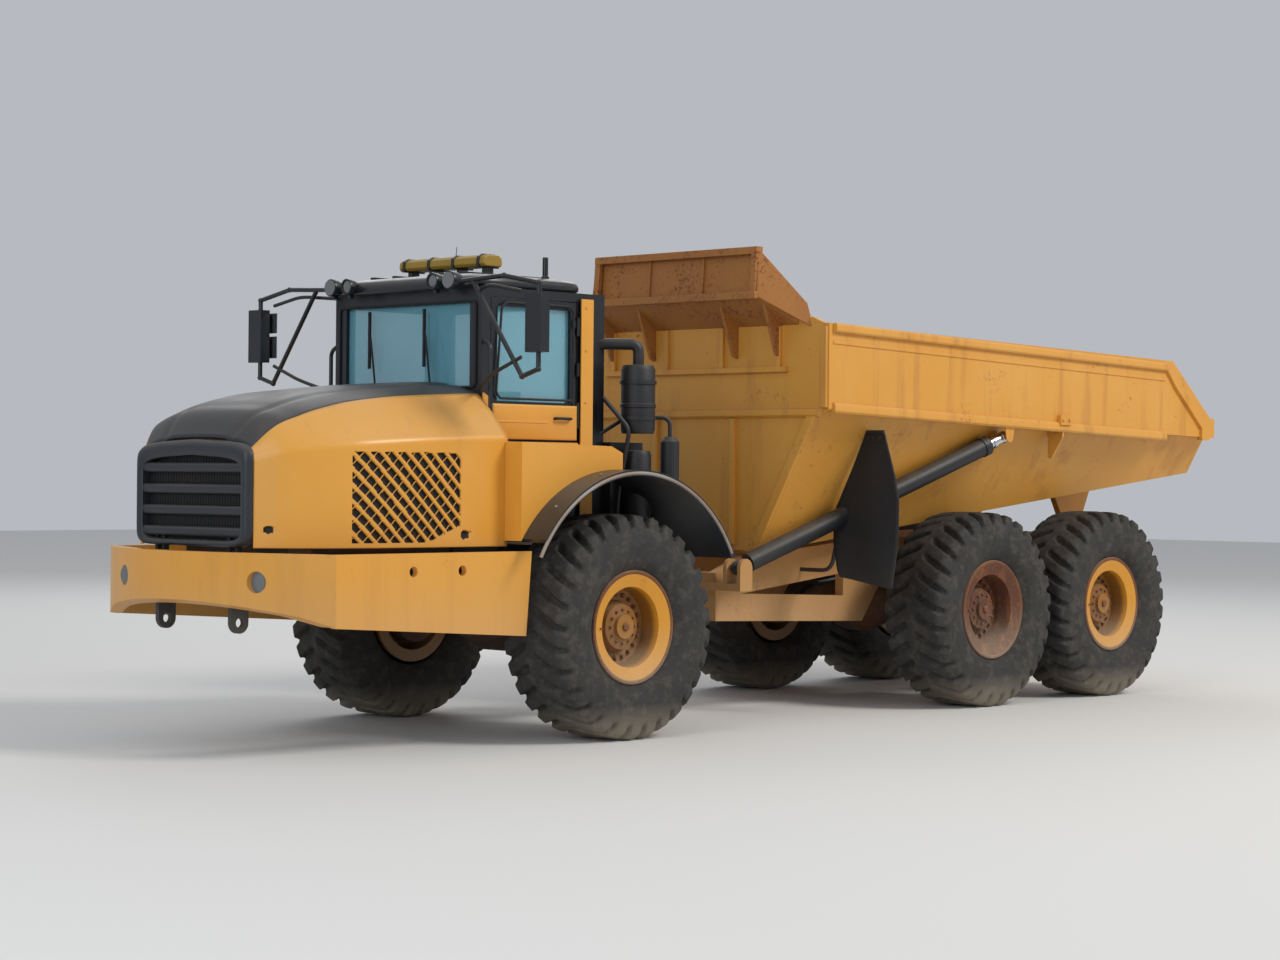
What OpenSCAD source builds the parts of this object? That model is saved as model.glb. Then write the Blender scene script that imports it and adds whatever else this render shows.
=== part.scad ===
// Articulated six-wheel dump truck: +X forward, +Y to its left, +Z up.
// The origin is on the ground at the middle of the overall length.

/* [Chassis] */
// Front of the bumper ahead of the front axle
front_overhang = 3100; // [3050:10:3200]
// Front axle to middle axle
front_to_mid = 4500; // [4480:10:4600]
// Middle axle to rear axle
bogie_spacing = 1820; // [1800:10:1880]
// Tail of the bed behind the rear axle
rear_overhang = 1760; // [1700:10:1850]
// Articulation pin behind the front axle
axle_to_pivot = 1280; // [1270:5:1300]
// Distance between the tyre centres of one axle
track = 2515; // [2500:5:2560]
// Height of the hitch shaft and the steering cylinders
hitch_z = 900; // [890:5:915]
// Half the spacing of the front frame rails
front_rail_y = 430; // [420:5:445]
// Bottom of the front frame rails
front_rail_z = 1120; // [1110:5:1135]
// Depth of the front frame rails
front_rail_h = 240; // [220:5:250]
// Half the spacing of the rear frame beams
rear_beam_y = 520; // [505:5:530]
// Thickness of the frame rails and beams
beam_w = 90; // [80:5:100]

/* [Wheels] */
// Loaded tyre diameter over its tread
tyre_d = 1700; // [1680:5:1720]
// Tyre section width
tyre_w = 660; // [640:5:670]
// Diameter over the rim flange
rim_d = 830; // [810:5:850]
// Diameter of the rim well under the tyre
well_d = 660; // [640:5:670]
// Diameter of the planetary hub
hub_d = 380; // [360:5:400]
// Diameter of the axle spindle
spindle_d = 190; // [180:5:200]

/* [Hitch and cylinders] */
// Diameter of the vertical articulation pin
pin_d = 120; // [110:5:130]
// Diameter of the oscillation shaft
shaft_d = 280; // [270:5:290]
// Steering cylinder foot ahead of the articulation pin
steer_foot_x = 930; // [920:5:940]
// Steering cylinder foot from the centre line
steer_foot_y = 430; // [425:5:440]
// Steering rod end ahead of the articulation pin
steer_eye_x = -40; // [-45:5:-35]
// Steering rod end from the centre line
steer_eye_y = 330; // [325:5:335]
// Diameter of a steering cylinder
steer_barrel_d = 110; // [100:5:115]
// Diameter of a steering rod
steer_rod_d = 56; // [50:2:60]
// Hoist cylinder foot behind the articulation pin
hoist_foot_x = 680; // [675:5:690]
// Hoist cylinder foot from the centre line
hoist_foot_y = 800; // [795:5:810]
// Hoist cylinder foot above the ground
hoist_foot_z = 1240; // [1235:5:1250]
// Hoist rod end ahead of the rear axle
hoist_eye_x = 1570; // [1560:5:1580]
// Hoist rod end from the centre line
hoist_eye_y = 1420; // [1420:5:1425]
// Hoist rod end above the ground
hoist_eye_z = 2360; // [2355:5:2370]
// Diameter of a hoist cylinder
hoist_barrel_d = 160; // [150:5:165]
// Diameter of a hoist rod
hoist_rod_d = 100; // [90:5:110]

/* [Bed] */
// Front wall of the bed behind the articulation pin
bed_gap = 990; // [980:5:1010]
// Half the width over the bed
bed_y = 1500; // [1490:5:1520]
// Half the width of the flat floor
floor_y = 720; // [700:5:725]
// Depth of the ledge under the upper side
ledge_y = 120; // [110:5:130]
// Thickness of the upper side box
side_w = 110; // [100:5:130]
// Thickness of the floor and flank plate
plate_t = 30; // [25:1:40]
// Top rail height at the front
rail_z = 3250; // [3220:10:3300]
// Ledge height at the front
ledge_z = 2550; // [2540:5:2570]
// Underside height at the front
floor_z = 1350; // [1345:5:1365]
// Rise of the underside from front to tail
floor_rise = 720; // [700:10:740]
// Fall of the top rail and the ledge from front to tail
rail_fall = 140; // [130:5:150]
// Top of the spill guard
guard_z = 3920; // [3900:10:3960]
// Reach of the spill guard ahead of the front wall
guard_reach = 580; // [560:10:600]
// Half the width of the spill guard
guard_y = 1250; // [1240:5:1260]
// Tipping pivot behind the rear axle
tip_back = 630; // [620:5:640]
// Tipping pivot above the ground
tip_z = 1520; // [1515:5:1530]

/* [Hood and bumper] */
// Rear edge of the hood ahead of the front axle
hood_rear_x = 1000; // [995:5:1010]
// Front of the grille ahead of the front axle
grille_x = 2980; // [2970:5:2990]
// Half the width of the hood at its rear
hood_y = 1150; // [1140:5:1160]
// Bottom of the hood
hood_z = 1460; // [1455:5:1465]
// Height of the side crease of the hood
crease_z = 2270; // [2260:5:2280]
// Top of the hood at the cab
hood_top_z = 2690; // [2670:5:2700]
// Thickness of the hood panels
panel_t = 30; // [25:1:35]
// Half the width of the bumper at its seam
bumper_y = 1330; // [1320:5:1340]
// Top of the bumper
bumper_z = 1430; // [1420:2:1430]
// Depth of the bumper ahead of its seam
bumper_bow = 380; // [370:5:390]

/* [Cab] */
// Half the width of the cab
cab_y = 850; // [840:5:860]
// Rear wall of the cab from the front axle
cab_rear_x = -140; // [-145:5:-135]
// Front wall of the cab from the front axle
cab_front_x = 960; // [955:5:965]
// Cab floor above the ground
cab_floor_z = 1500; // [1490:5:1510]
// Underside of the cab roof
cab_top_z = 3390; // [3380:5:3400]
// Thickness of the roof
roof_t = 120; // [110:5:130]
// Thickness of the cab walls and the door
cab_t = 60; // [55:1:65]

/* [Hidden] */
$fn = 64;

fit_gap = 0.3;        // running fit between a shaft and its bore
swing_gap = 8;        // gap beside pieces that turn or slide
body_yellow = [0.93, 0.66, 0.16];
frame_black = [0.10, 0.11, 0.13];
tyre_grey = [0.22, 0.22, 0.22];
steel_grey = [0.45, 0.45, 0.45];

overall_l = front_overhang + front_to_mid + bogie_spacing + rear_overhang;
front_axle_x = overall_l / 2 - front_overhang;
pivot_x = front_axle_x - axle_to_pivot;
mid_axle_x = front_axle_x - front_to_mid;
rear_axle_x = mid_axle_x - bogie_spacing;
bogie_x = (mid_axle_x + rear_axle_x) / 2;
tail_x = rear_axle_x - rear_overhang;
bed_front_x = pivot_x - bed_gap;
bed_l = bed_front_x - tail_x;
tip_x = rear_axle_x - tip_back;
axle_z = tyre_d / 2;
wheel_y = track / 2;

// Places a piece that is measured from the front axle
module at_front() translate([front_axle_x, 0, 0]) children();

// The piece and its mirror image on the right-hand side
module both_sides() {
  children();
  mirror([0, 1, 0]) children();
}

// A flat side profile in X and Z, given thickness in Y from y0 to y1
module side_profile(points, y0, y1)
  translate([0, y1, 0]) rotate([90, 0, 0]) linear_extrude(y1 - y0) polygon(points);

// A box from its lowest to its highest corner
module block(low, high) translate(low) cube(high - low);

// A round bar from p to q
module bar(p, q, r) {
  d = q - p;
  len = norm(d);
  translate(p) rotate([0, acos(d[2] / len), atan2(d[1], d[0])]) cylinder(r = r, h = len);
}

// A bent tube along points, with a ball in each bend
module bent_tube(points, r) {
  for (i = [0 : len(points) - 2]) bar(points[i], points[i + 1], r);
  for (i = [1 : len(points) - 2]) translate(points[i]) sphere(r = r + 4, $fn = 24);
}

// A solid through rings of the same number of points, closed at both ends.
// Each ring runs anticlockwise as seen from the end that the loft travels to.
// A walled ring runs along its outside and back along its inside, point for point.
module loft(rings, walled = false) {
  n = len(rings[0]);
  m = len(rings);
  points = [for (ring = rings) for (p = ring) p];
  sides = [for (i = [0 : m - 2]) for (j = [0 : n - 1]) let (k = (j + 1) % n)
    each [[i * n + j, (i + 1) * n + k, i * n + k], [i * n + j, (i + 1) * n + j, (i + 1) * n + k]]];
  cap = walled
    ? [for (j = [0 : n / 2 - 2]) each [[j, j + 1, n - 2 - j], [j, n - 2 - j, n - 1 - j]]]
    : [for (j = [1 : n - 2]) [0, j, j + 1]];
  cap_low = cap;
  cap_high = [for (c = cap) [for (j = [2 : -1 : 0]) (m - 1) * n + c[j]]];
  polyhedron(points, concat(cap_low, sides, cap_high), convexity = 8);
}

// Tyre

// Half profile of the tyre: radius, half width
function tyre_profile() = let (r = tyre_d / 2, w = tyre_w / 2, b = well_d / 2 + fit_gap, f = rim_d / 2)
  [[b, w - 105 - fit_gap], [f + 2, w - 105 - fit_gap], [f + 75, w - 12], [r - 210, w], [r - 105, w - 12],
   [r - 28, w - 42], [r, w - 75]];

module tyre() {
  half = tyre_profile();
  mirrored = [for (i = [len(half) - 1 : -1 : 0]) [half[i][0], -half[i][1]]];
  color(tyre_grey) rotate([90, 0, 0]) rotate_extrude($fn = 96) polygon(concat(half, mirrored));
}

// Rim

// The rim is one revolved section about its axle: flanges, well, dished disc and hub
module rim() {
  f = rim_d / 2;
  w = tyre_w / 2;
  well = well_d / 2;
  hub = hub_d / 2;
  bore = spindle_d / 2 + fit_gap;
  section = [
    [bore, -150], [hub, -150], [hub, 20], [well - 60, 20], [well - 30, -30], [well - 30, 70 - w],
    [f - 20, 70 - w], [f - 20, 100 - w], [well, 100 - w + 5], [well, w - 105], [f - 12, w - 105], [f, w - 80],
    [f, w - 68], [f - 18, w - 68], [well - 25, w - 100], [well - 45, 70], [hub + 10, 50], [hub - 20, 130],
    [95, 150], [90, 175], [0, 175], [0, 60], [bore, 60]
  ];
  color("orange") rotate([-90, 0, 0]) rotate_extrude($fn = 96) polygon(section);
}

// Each wheel: name, axle position, side
wheels = [
  ["front_left", front_axle_x, 1], ["front_right", front_axle_x, -1],
  ["mid_left", mid_axle_x, 1], ["mid_right", mid_axle_x, -1],
  ["rear_left", rear_axle_x, 1], ["rear_right", rear_axle_x, -1]
];

module wheel_place(w)
  translate([w[1], w[2] * wheel_y, axle_z]) mirror([0, w[2] < 0 ? 1 : 0, 0]) children();

// Axles

axle_tube_r = 130;

// One rigid axle with its banjo housing, brake backing plates and spindles
banjo_r = 250;
module axle(x) {
  half = [[0, wheel_y + 50], [spindle_d / 2, wheel_y + 50], [spindle_d / 2, wheel_y - 150 - swing_gap],
    [230, wheel_y - 150 - swing_gap], [230, wheel_y - 300], [axle_tube_r, wheel_y - 320], [axle_tube_r, 430],
    [200, 240], [banjo_r, 110]];
  mirrored = [for (i = [len(half) - 1 : -1 : 0]) [half[i][0], -half[i][1]]];
  translate([x, 0, axle_z]) rotate([90, 0, 0]) rotate_extrude() polygon(concat(half, mirrored));
}

module front_axle() color(frame_black) {
  axle(front_axle_x);
  at_front() {
    // nose of the pinion housing
    bar([-150, 0, axle_z], [-430, 0, axle_z + 20], 90);
    // spring seats that carry the frame rails
    both_sides() block([-120, front_rail_y - 70, axle_z + 100], [120, front_rail_y + 70, front_rail_z - fit_gap]);
  }
}

module bogie_axles() color(frame_black) {
  axle(mid_axle_x);
  axle(rear_axle_x);
  // shaft between the two housings
  bar([mid_axle_x - 150, 0, axle_z], [rear_axle_x + 150, 0, axle_z], 55);
  // pinion nose and the shaft towards the hitch
  bar([mid_axle_x + 150, 0, axle_z], [mid_axle_x + 420, 0, axle_z], 110);
  bar([mid_axle_x + 400, 0, axle_z], [pivot_x - tube_end - 120, 0, hitch_z - 40], 50);
}

// Front frame

ear_r = 190;
web_x = 420;          // pivot to the rear cross web of the front frame
clevis_gap = 60 + fit_gap;
clevis_t = 35;

// Towing eyes
tow_eye_x = grille_x - 120;
tow_eye_z = 930;
tow_eye_r = 35;
tow_eye_t = 40;
// Hinge of the hood
hood_pin_x = grille_x - 75;
hood_pin_z = hood_z + 100;
hood_pin_r = 20;
hood_lug_y = 430;

// The two plates of a steering cylinder's foot, and the web that carries them
module steer_foot_bracket() translate([pivot_x + steer_foot_x, steer_foot_y, hitch_z]) {
  for (s = [-1, 1]) translate([0, 0, s * (clevis_gap + clevis_t / 2)]) {
    cylinder(r = 70, h = clevis_t, center = true);
    translate([60, 0, 0]) cube([120, 140, clevis_t], center = true);
  }
  block([90, -70, -clevis_gap - clevis_t], [130, 70, front_rail_z - hitch_z + 20]);
}

module front_frame() color(frame_black) difference() {
  union() {
    both_sides() {
      translate([0, front_rail_y, 0])
        block([pivot_x + web_x, -beam_w / 2, front_rail_z],
              [front_axle_x + grille_x - 330, beam_w / 2, front_rail_z + front_rail_h]);
      steer_foot_bracket();
    }
    // ears of the articulation joint, above and below the hitch head
    for (z = [hitch_z + 260, hitch_z - 330]) {
      translate([pivot_x, 0, z]) cylinder(r = ear_r, h = 70);
      block([pivot_x, -ear_r, z], [pivot_x + web_x + 60, ear_r, z + 70]);
    }
    // web between the ears, and the cross plate at the rails' rear ends
    block([pivot_x + web_x, -270, hitch_z - 330], [pivot_x + web_x + 60, 270, hitch_z + 330]);
    block([pivot_x + web_x, -front_rail_y, front_rail_z], [pivot_x + web_x + 60, front_rail_y, front_rail_z + front_rail_h]);
    for (s = [-1, 1]) side_profile([[pivot_x + web_x + 10, hitch_z - 330], [pivot_x + web_x + 420, front_rail_z + 60],
      [pivot_x + web_x + 10, front_rail_z + 60]], s * 240 - 15, s * 240 + 15);
    // cross members
    for (x = [web_x + 60, axle_to_pivot + 700, axle_to_pivot + 2100])
      block([pivot_x + x, -front_rail_y, front_rail_z + 40], [pivot_x + x + 120, front_rail_y, front_rail_z + 200]);
    at_front() both_sides() {
      // carriers that reach the back of the bumper
      intersection() {
        block([grille_x - 400, front_rail_y - beam_w / 2, bumper_z - 310],
              [front_overhang, front_rail_y + beam_w / 2, front_rail_z + 120]);
        translate([front_overhang - bow_r - bumper_t, 0, 0]) cylinder(r = bow_r - fit_gap, h = 3000, $fn = 200);
      }
      // towing eyes under the bumper
      translate([tow_eye_x, front_rail_y + tow_eye_t / 2, tow_eye_z]) rotate([90, 0, 0]) cylinder(r = 75, h = tow_eye_t);
      block([tow_eye_x - 75, front_rail_y - tow_eye_t / 2, tow_eye_z],
            [tow_eye_x + 75, front_rail_y + tow_eye_t / 2, bumper_z - 300]);
      // posts and pins of the hood hinge
      translate([0, hood_lug_y, 0]) {
        for (s = [-1, 1]) translate([0, s * 42.5, 0])
          block([hood_pin_x - 28, -15, front_rail_z + 100], [hood_pin_x + 12, 15, hood_pin_z + 28]);
        translate([hood_pin_x, 57, hood_pin_z]) rotate([90, 0, 0]) cylinder(r = hood_pin_r, h = 114);
        block([grille_x - 400, -57, front_rail_z + 90], [hood_pin_x + 12, 57, front_rail_z + 125]);
      }
      // rubber mounts of the cab
      for (x = [cab_rear_x + 90, cab_front_x - 130]) translate([x, front_rail_y, front_rail_z + 100])
        cylinder(r = 42, h = cab_floor_z - fit_gap - front_rail_z - 100);
    }
  }
  translate([pivot_x, 0, hitch_z - 400]) cylinder(r = pin_d / 2 + fit_gap, h = 900);
  // way through the web for the drive shaft
  translate([pivot_x + web_x - 10, 0, hitch_z]) rotate([0, 90, 0]) cylinder(r = 130, h = 90);
  at_front() translate([tow_eye_x, 0, tow_eye_z]) rotate([90, 0, 0]) cylinder(r = tow_eye_r, h = 4000, center = true);
}

// Engine, gearbox and radiator as plain blocks
module powertrain() color(steel_grey) at_front() {
  inner_y = front_rail_y - beam_w / 2 - fit_gap;
  block([cab_front_x + 15, -front_rail_y + 20, front_rail_z + front_rail_h + fit_gap], [2150, front_rail_y - 20, 2150]);
  block([fit_gap - 680, -inner_y, axle_z + banjo_r + 85], [350, inner_y, cab_floor_z - 60]);
  block([2350, -600, front_rail_z + front_rail_h + fit_gap], [2560, 600, 2150]);
}

// Hitch

steer_eye = [steer_eye_x, steer_eye_y, 0];
ball_r = 60;
hoist_eye_r = 56;
eye_gap = 12;         // beside the eye of a hoist rod
lug_t = 12;           // thickness of the lug outside it
rod_ball_r = 45;
wing_gap = rod_ball_r + swing_gap;

tube_end = 950;

module hitch() color(frame_black) {
  translate([pivot_x, 0, hitch_z]) {
    cylinder(r = 140, h = 2 * (260 - swing_gap), center = true);
    translate([0, 0, -350]) cylinder(r = pin_d / 2, h = 700);
    translate([-shaft_d / 2, 0, 0]) rotate([0, -90, 0]) cylinder(r = shaft_d / 2, h = tube_end - shaft_d / 2 + 10);
    rotate([0, -90, 0]) cylinder(r = 140, h = shaft_d / 2 + 1);
    translate([-tube_end - swing_gap, 0, 0]) rotate([0, -90, 0]) cylinder(r = shaft_d / 2 + 40, h = 30);
    // wings for the steering rods, a plate above and a plate below each eye
    for (s = [-1, 1]) translate([0, 0, s * (wing_gap + 15)]) linear_extrude(30, center = true) {
      circle(r = 150);
      translate([-120, -steer_eye_y - 40]) square([160, 2 * steer_eye_y + 80]);
      for (t = [-1, 1]) translate([steer_eye_x, t * steer_eye_y]) circle(r = 75);
    }
  }
}

// Cylinders

// A cylinder's barrel from its foot ball towards the rod end; l is the distance between the ball centres
module barrel(l, r, rod_r, foot_r, stroke_room) {
  difference() {
    union() {
      sphere(r = foot_r, $fn = 48);
      cylinder(r = foot_r * 0.7, h = foot_r + 60);
      translate([0, 0, foot_r + 50]) cylinder(r = r, h = l - foot_r - 50 - stroke_room);
      translate([0, 0, l - stroke_room - 70]) cylinder(r = r + 8, h = 70);
    }
    translate([0, 0, foot_r + 90]) cylinder(r = rod_r + fit_gap, h = l);
  }
}

// The rod, from inside its barrel to the ball at the far end
module rod(l, rod_r, eye_r, start) {
  translate([0, 0, start]) cylinder(r = rod_r, h = l - start - eye_r * 0.6);
  translate([0, 0, l]) sphere(r = eye_r, $fn = 48);
}

// Points an upright piece from p towards q
module aim(p, q) {
  d = q - p;
  translate(p) rotate([0, acos(d[2] / norm(d)), atan2(d[1], d[0])]) children();
}

function side_point(p, side) = [p[0], p[1] * side, p[2]];
steer_foot = [pivot_x + steer_foot_x, steer_foot_y, hitch_z];
steer_end = [pivot_x + steer_eye_x, steer_eye_y, hitch_z];
hoist_foot = [pivot_x - hoist_foot_x, hoist_foot_y, hoist_foot_z];
hoist_end = [rear_axle_x + hoist_eye_x, hoist_eye_y, hoist_eye_z];
steer_l = norm(steer_end - steer_foot);
hoist_l = norm(hoist_end - hoist_foot);
steer_room = 300;
hoist_room = 200;
steer_rod_start = ball_r + 345;   // leaves the stroke of the steering free below it
hoist_rod_start = ball_r + 110;

module steer_barrel(side) color(frame_black) aim(side_point(steer_foot, side), side_point(steer_end, side))
  barrel(steer_l, steer_barrel_d / 2, steer_rod_d / 2, ball_r, steer_room);
module steer_rod(side) color("silver") aim(side_point(steer_foot, side), side_point(steer_end, side))
  rod(steer_l, steer_rod_d / 2, rod_ball_r, steer_rod_start);
module hoist_barrel(side) color(frame_black) aim(side_point(hoist_foot, side), side_point(hoist_end, side))
  barrel(hoist_l, hoist_barrel_d / 2, hoist_rod_d / 2, ball_r, hoist_room);
module hoist_rod(side) color("silver") aim(side_point(hoist_foot, side), side_point(hoist_end, side)) {
  rod(hoist_l, hoist_rod_d / 2, hoist_eye_r, hoist_rod_start);
  translate([0, 0, hoist_l - hoist_eye_r - 85]) cylinder(r = hoist_rod_d * 0.575, h = 40);
}

// Rear frame

// Height of the bed's underside at x
function under_z(x) = floor_z + floor_rise * (bed_front_x - x) / bed_l;
tube_r = shaft_d / 2 + 60;
tow_plate_x = tip_x - 60;
tow_plate_z = 1250;
tow_plate_t = 50;
tow_plate_r = 30;
beam_front_x = pivot_x - 730;

module rear_frame() color(body_yellow) difference() {
  union() {
    // bearing tube of the oscillation shaft
    translate([pivot_x - 260, 0, hitch_z]) rotate([0, -90, 0]) cylinder(r = tube_r, h = tube_end - 260);
    // cross box that ties the tube to the beams
    block([beam_front_x - 160, -rear_beam_y, hitch_z - 110], [beam_front_x + 60, rear_beam_y, hitch_z + 290]);
    both_sides() side_profile([
      [beam_front_x + 60, hitch_z - 110], [mid_axle_x + 640, hitch_z - 170], [mid_axle_x + 330, axle_z + 290],
      [rear_axle_x - 300, axle_z + 290], [tip_x - 160, tip_z - 140], [tip_x - 160, tip_z - 60],
      [rear_axle_x, tip_z - 20], [mid_axle_x, tip_z - 60], [mid_axle_x + 700, tip_z - 70],
      [beam_front_x - 300, hitch_z + 420], [beam_front_x + 60, hitch_z + 290]
    ], rear_beam_y - beam_w / 2, rear_beam_y + beam_w / 2);
    // cross tubes between the beams
    for (x = [mid_axle_x + 560, bogie_x, rear_axle_x - 480])
      translate([x, 0, axle_z + 400]) rotate([90, 0, 0]) cylinder(r = 70, h = 2 * rear_beam_y, center = true);
    // ears of the tipping pivot
    both_sides() translate([tip_x, rear_beam_y, 0]) {
      translate([0, 0, tip_z]) rotate([90, 0, 0]) cylinder(r = 105, h = beam_w, center = true);
      block([-105, -beam_w / 2, tip_z - 130], [105, beam_w / 2, tip_z]);
    }
    // clevis plates of the hoist feet
    both_sides() {
      for (s = [-1, 1]) translate([hoist_foot[0], hoist_foot_y + s * (clevis_gap + clevis_t / 2), hoist_foot_z])
        rotate([90, 0, 0]) cylinder(r = 75, h = clevis_t, center = true);
      for (s = [-1, 1]) translate([hoist_foot[0], hoist_foot_y + s * (clevis_gap + clevis_t / 2), 0])
        block([-75, -clevis_t / 2, hoist_foot_z - 150], [75, clevis_t / 2, hoist_foot_z]);
      block([hoist_foot[0] - 75, rear_beam_y, hoist_foot_z - 190],
            [hoist_foot[0] + 75, hoist_foot_y + clevis_gap + clevis_t, hoist_foot_z - 130]);
    }
    // trunnions of the bogie beams
    both_sides() translate([bogie_x, rear_beam_y, axle_z + 110]) rotate([-90, 0, 0]) cylinder(r = 80, h = beam_w / 2 + 125);
    both_sides() block([bogie_x - 140, rear_beam_y - beam_w / 2, axle_z + 60],
                       [bogie_x + 140, rear_beam_y + beam_w / 2, axle_z + 330]);
    // rear cross member with its towing plate
    block([tip_x + 130, -rear_beam_y, tip_z - 190], [tip_x + 250, rear_beam_y, tip_z - 80]);
    translate([tow_plate_x, 0, tow_plate_z]) cylinder(r = 90, h = tow_plate_t, center = true);
    block([tow_plate_x, -90, tow_plate_z - tow_plate_t / 2], [tip_x + 250, 90, tow_plate_z + tow_plate_t / 2]);
    block([tip_x + 130, -90, tow_plate_z - tow_plate_t / 2], [tip_x + 250, 90, tip_z - 100]);
  }
  translate([tow_plate_x, 0, 0]) cylinder(r = tow_plate_r, h = 3000);
  // triangular window in each beam
  both_sides() side_profile([[beam_front_x - 260, hitch_z + 110], [mid_axle_x + 900, hitch_z + 260],
    [mid_axle_x + 900, hitch_z + 60]], rear_beam_y - beam_w, rear_beam_y + beam_w);
  // bores of the oscillation shaft and the tipping pins
  translate([pivot_x, 0, hitch_z]) rotate([0, -90, 0]) cylinder(r = shaft_d / 2 + fit_gap, h = 1000);
  translate([tip_x, 0, tip_z]) rotate([90, 0, 0]) cylinder(r = 40 + fit_gap, h = 2000, center = true);
}

// Walking beams that join the two bogie axles on each side
module bogie_beams() color(body_yellow) both_sides() difference() {
  y0 = rear_beam_y + beam_w / 2 + fit_gap;
  union() {
    side_profile([
      [mid_axle_x, axle_z - 120], [mid_axle_x, axle_z + 150], [bogie_x + 150, axle_z + 230],
      [bogie_x - 150, axle_z + 230], [rear_axle_x, axle_z + 150], [rear_axle_x, axle_z - 120],
      [bogie_x, axle_z - 90]
    ], y0, y0 + 110);
    for (x = [mid_axle_x, rear_axle_x]) translate([x, y0, axle_z]) rotate([-90, 0, 0]) cylinder(r = 195, h = 110);
  }
  translate([bogie_x, 0, axle_z + 110]) rotate([90, 0, 0]) cylinder(r = 80 + fit_gap, h = 4000, center = true);
  for (x = [mid_axle_x, rear_axle_x]) translate([x, 0, axle_z]) rotate([90, 0, 0])
    cylinder(r = axle_tube_r + fit_gap, h = 4000, center = true);
}

// Mud flaps

flap_x = front_axle_x - 3010;
flap_y0 = 1150;
flap_y1 = 1500;
flap_t = 24;
flap_bar_z = 1180;

// A flap hangs across the wheel from a bar on the frame beam
module mud_flaps() color(frame_black) both_sides() {
  bar([flap_x + 20, rear_beam_y + beam_w / 2 + fit_gap, flap_bar_z], [flap_x + 20, flap_y1 - 120, flap_bar_z], 30);
  outline = [[flap_y0, 980], [flap_y1, 980], [flap_y1, 1900], [flap_y1 - 80, 2370], [flap_y0, 1640]];
  translate([flap_x, 0, 0]) rotate([90, 0, 90]) translate([0, 0, -flap_t]) linear_extrude(flap_t) polygon(outline);
}

// Bed

// Heights at the front and at the tail
function rail_h(x) = rail_z - rail_fall * (bed_front_x - x) / bed_l;
function ledge_h(x) = ledge_z - rail_fall * (bed_front_x - x) / bed_l;
bed_ends = [tail_x, bed_front_x];
wall_t = 50;
side_lean = 60;       // lean of the inside of the upper side
flank_y = bed_y - ledge_y;

// What is cut off the rear ends of the sides: the slanting tail
module tail_cut() side_profile([[tail_x - 10, rail_z + 100], [tail_x - 10, ledge_z + 40],
  [tail_x + 80, ledge_z + 50], [tail_x + 740, rail_z - 120], [tail_x + 760, rail_z + 100]], -2000, 2000);

flank_slope = (flank_y - floor_y) / (ledge_z - floor_z);
// Distance of the flank from the centre line at x and z
function flank_at(x, z) = flank_y - (ledge_h(x) - z) * flank_slope;
// Section of the floor and its flanks, from low above the underside to high above the ledge, moved in by d
function floor_ring(x, d, low, high) =
  let (u = under_z(x) + low, l = ledge_h(x) + high, yl = flank_at(x, u) - d, yh = flank_at(x, l) - d)
  [[x, -yh, l], [x, -yl, u], [x, yl, u], [x, yh, l]];

module bed_floor() color(body_yellow) {
  flank_t = plate_t * sqrt(1 + flank_slope * flank_slope);
  difference() {
    loft([for (x = [tail_x, bed_front_x - wall_t - fit_gap]) floor_ring(x, 0, 0, -fit_gap)]);
    loft([for (x = [tail_x - 10, bed_front_x]) floor_ring(x, flank_t, plate_t, 10)]);
  }
  // pads on the flanks beside the eyes of the hoist rods
  both_sides() translate([hoist_end[0] - 40, 0, 0]) rotate([90, 0, 90]) linear_extrude(80) polygon([
    [flank_at(hoist_end[0], hoist_eye_z - 45) - 12, hoist_eye_z - 45],
    [hoist_eye_y - hoist_eye_r - eye_gap, hoist_eye_z - 45], [hoist_eye_y - hoist_eye_r - eye_gap, hoist_eye_z + 45],
    [flank_at(hoist_end[0], hoist_eye_z + 45) - 12, hoist_eye_z + 45]]);
  // bearers under the floor, with the ears of the tipping pivot
  both_sides() {
    side_profile([[tip_x - 100, tip_z], [tip_x + 100, tip_z], [tip_x + 330, under_z(tip_x + 330) + 10],
      [tip_x - 330, under_z(tip_x - 330) + 10]], rear_beam_y + beam_w / 2 + swing_gap, rear_beam_y + beam_w / 2 + 70);
    translate([tip_x, rear_beam_y + beam_w / 2 + swing_gap, tip_z]) rotate([-90, 0, 0])
      cylinder(r = 110, h = 70 - swing_gap);
  }
  // tipping pins
  both_sides() translate([tip_x, rear_beam_y - beam_w / 2 - 10, tip_z]) rotate([-90, 0, 0])
    cylinder(r = 40, h = beam_w + 60);
}

module bed_sides() color(body_yellow) both_sides() {
  difference() {
    loft([for (x = bed_ends) [
      [x, bed_y - side_w - side_lean, ledge_h(x)], [x, bed_y, ledge_h(x)], [x, bed_y, rail_h(x)], [x, bed_y - side_w, rail_h(x)]]]);
    tail_cut();
  }
  // lug outside the eye of the hoist rod
  translate([hoist_end[0], hoist_eye_y + hoist_eye_r + eye_gap, 0])
    side_profile([[-45, hoist_eye_z - 20], [-25, hoist_eye_z - 40], [25, hoist_eye_z - 40], [45, hoist_eye_z - 20],
      [80, ledge_h(hoist_end[0]) + 20], [-80, ledge_h(hoist_end[0]) + 20]], 0, lug_t);
}

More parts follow.
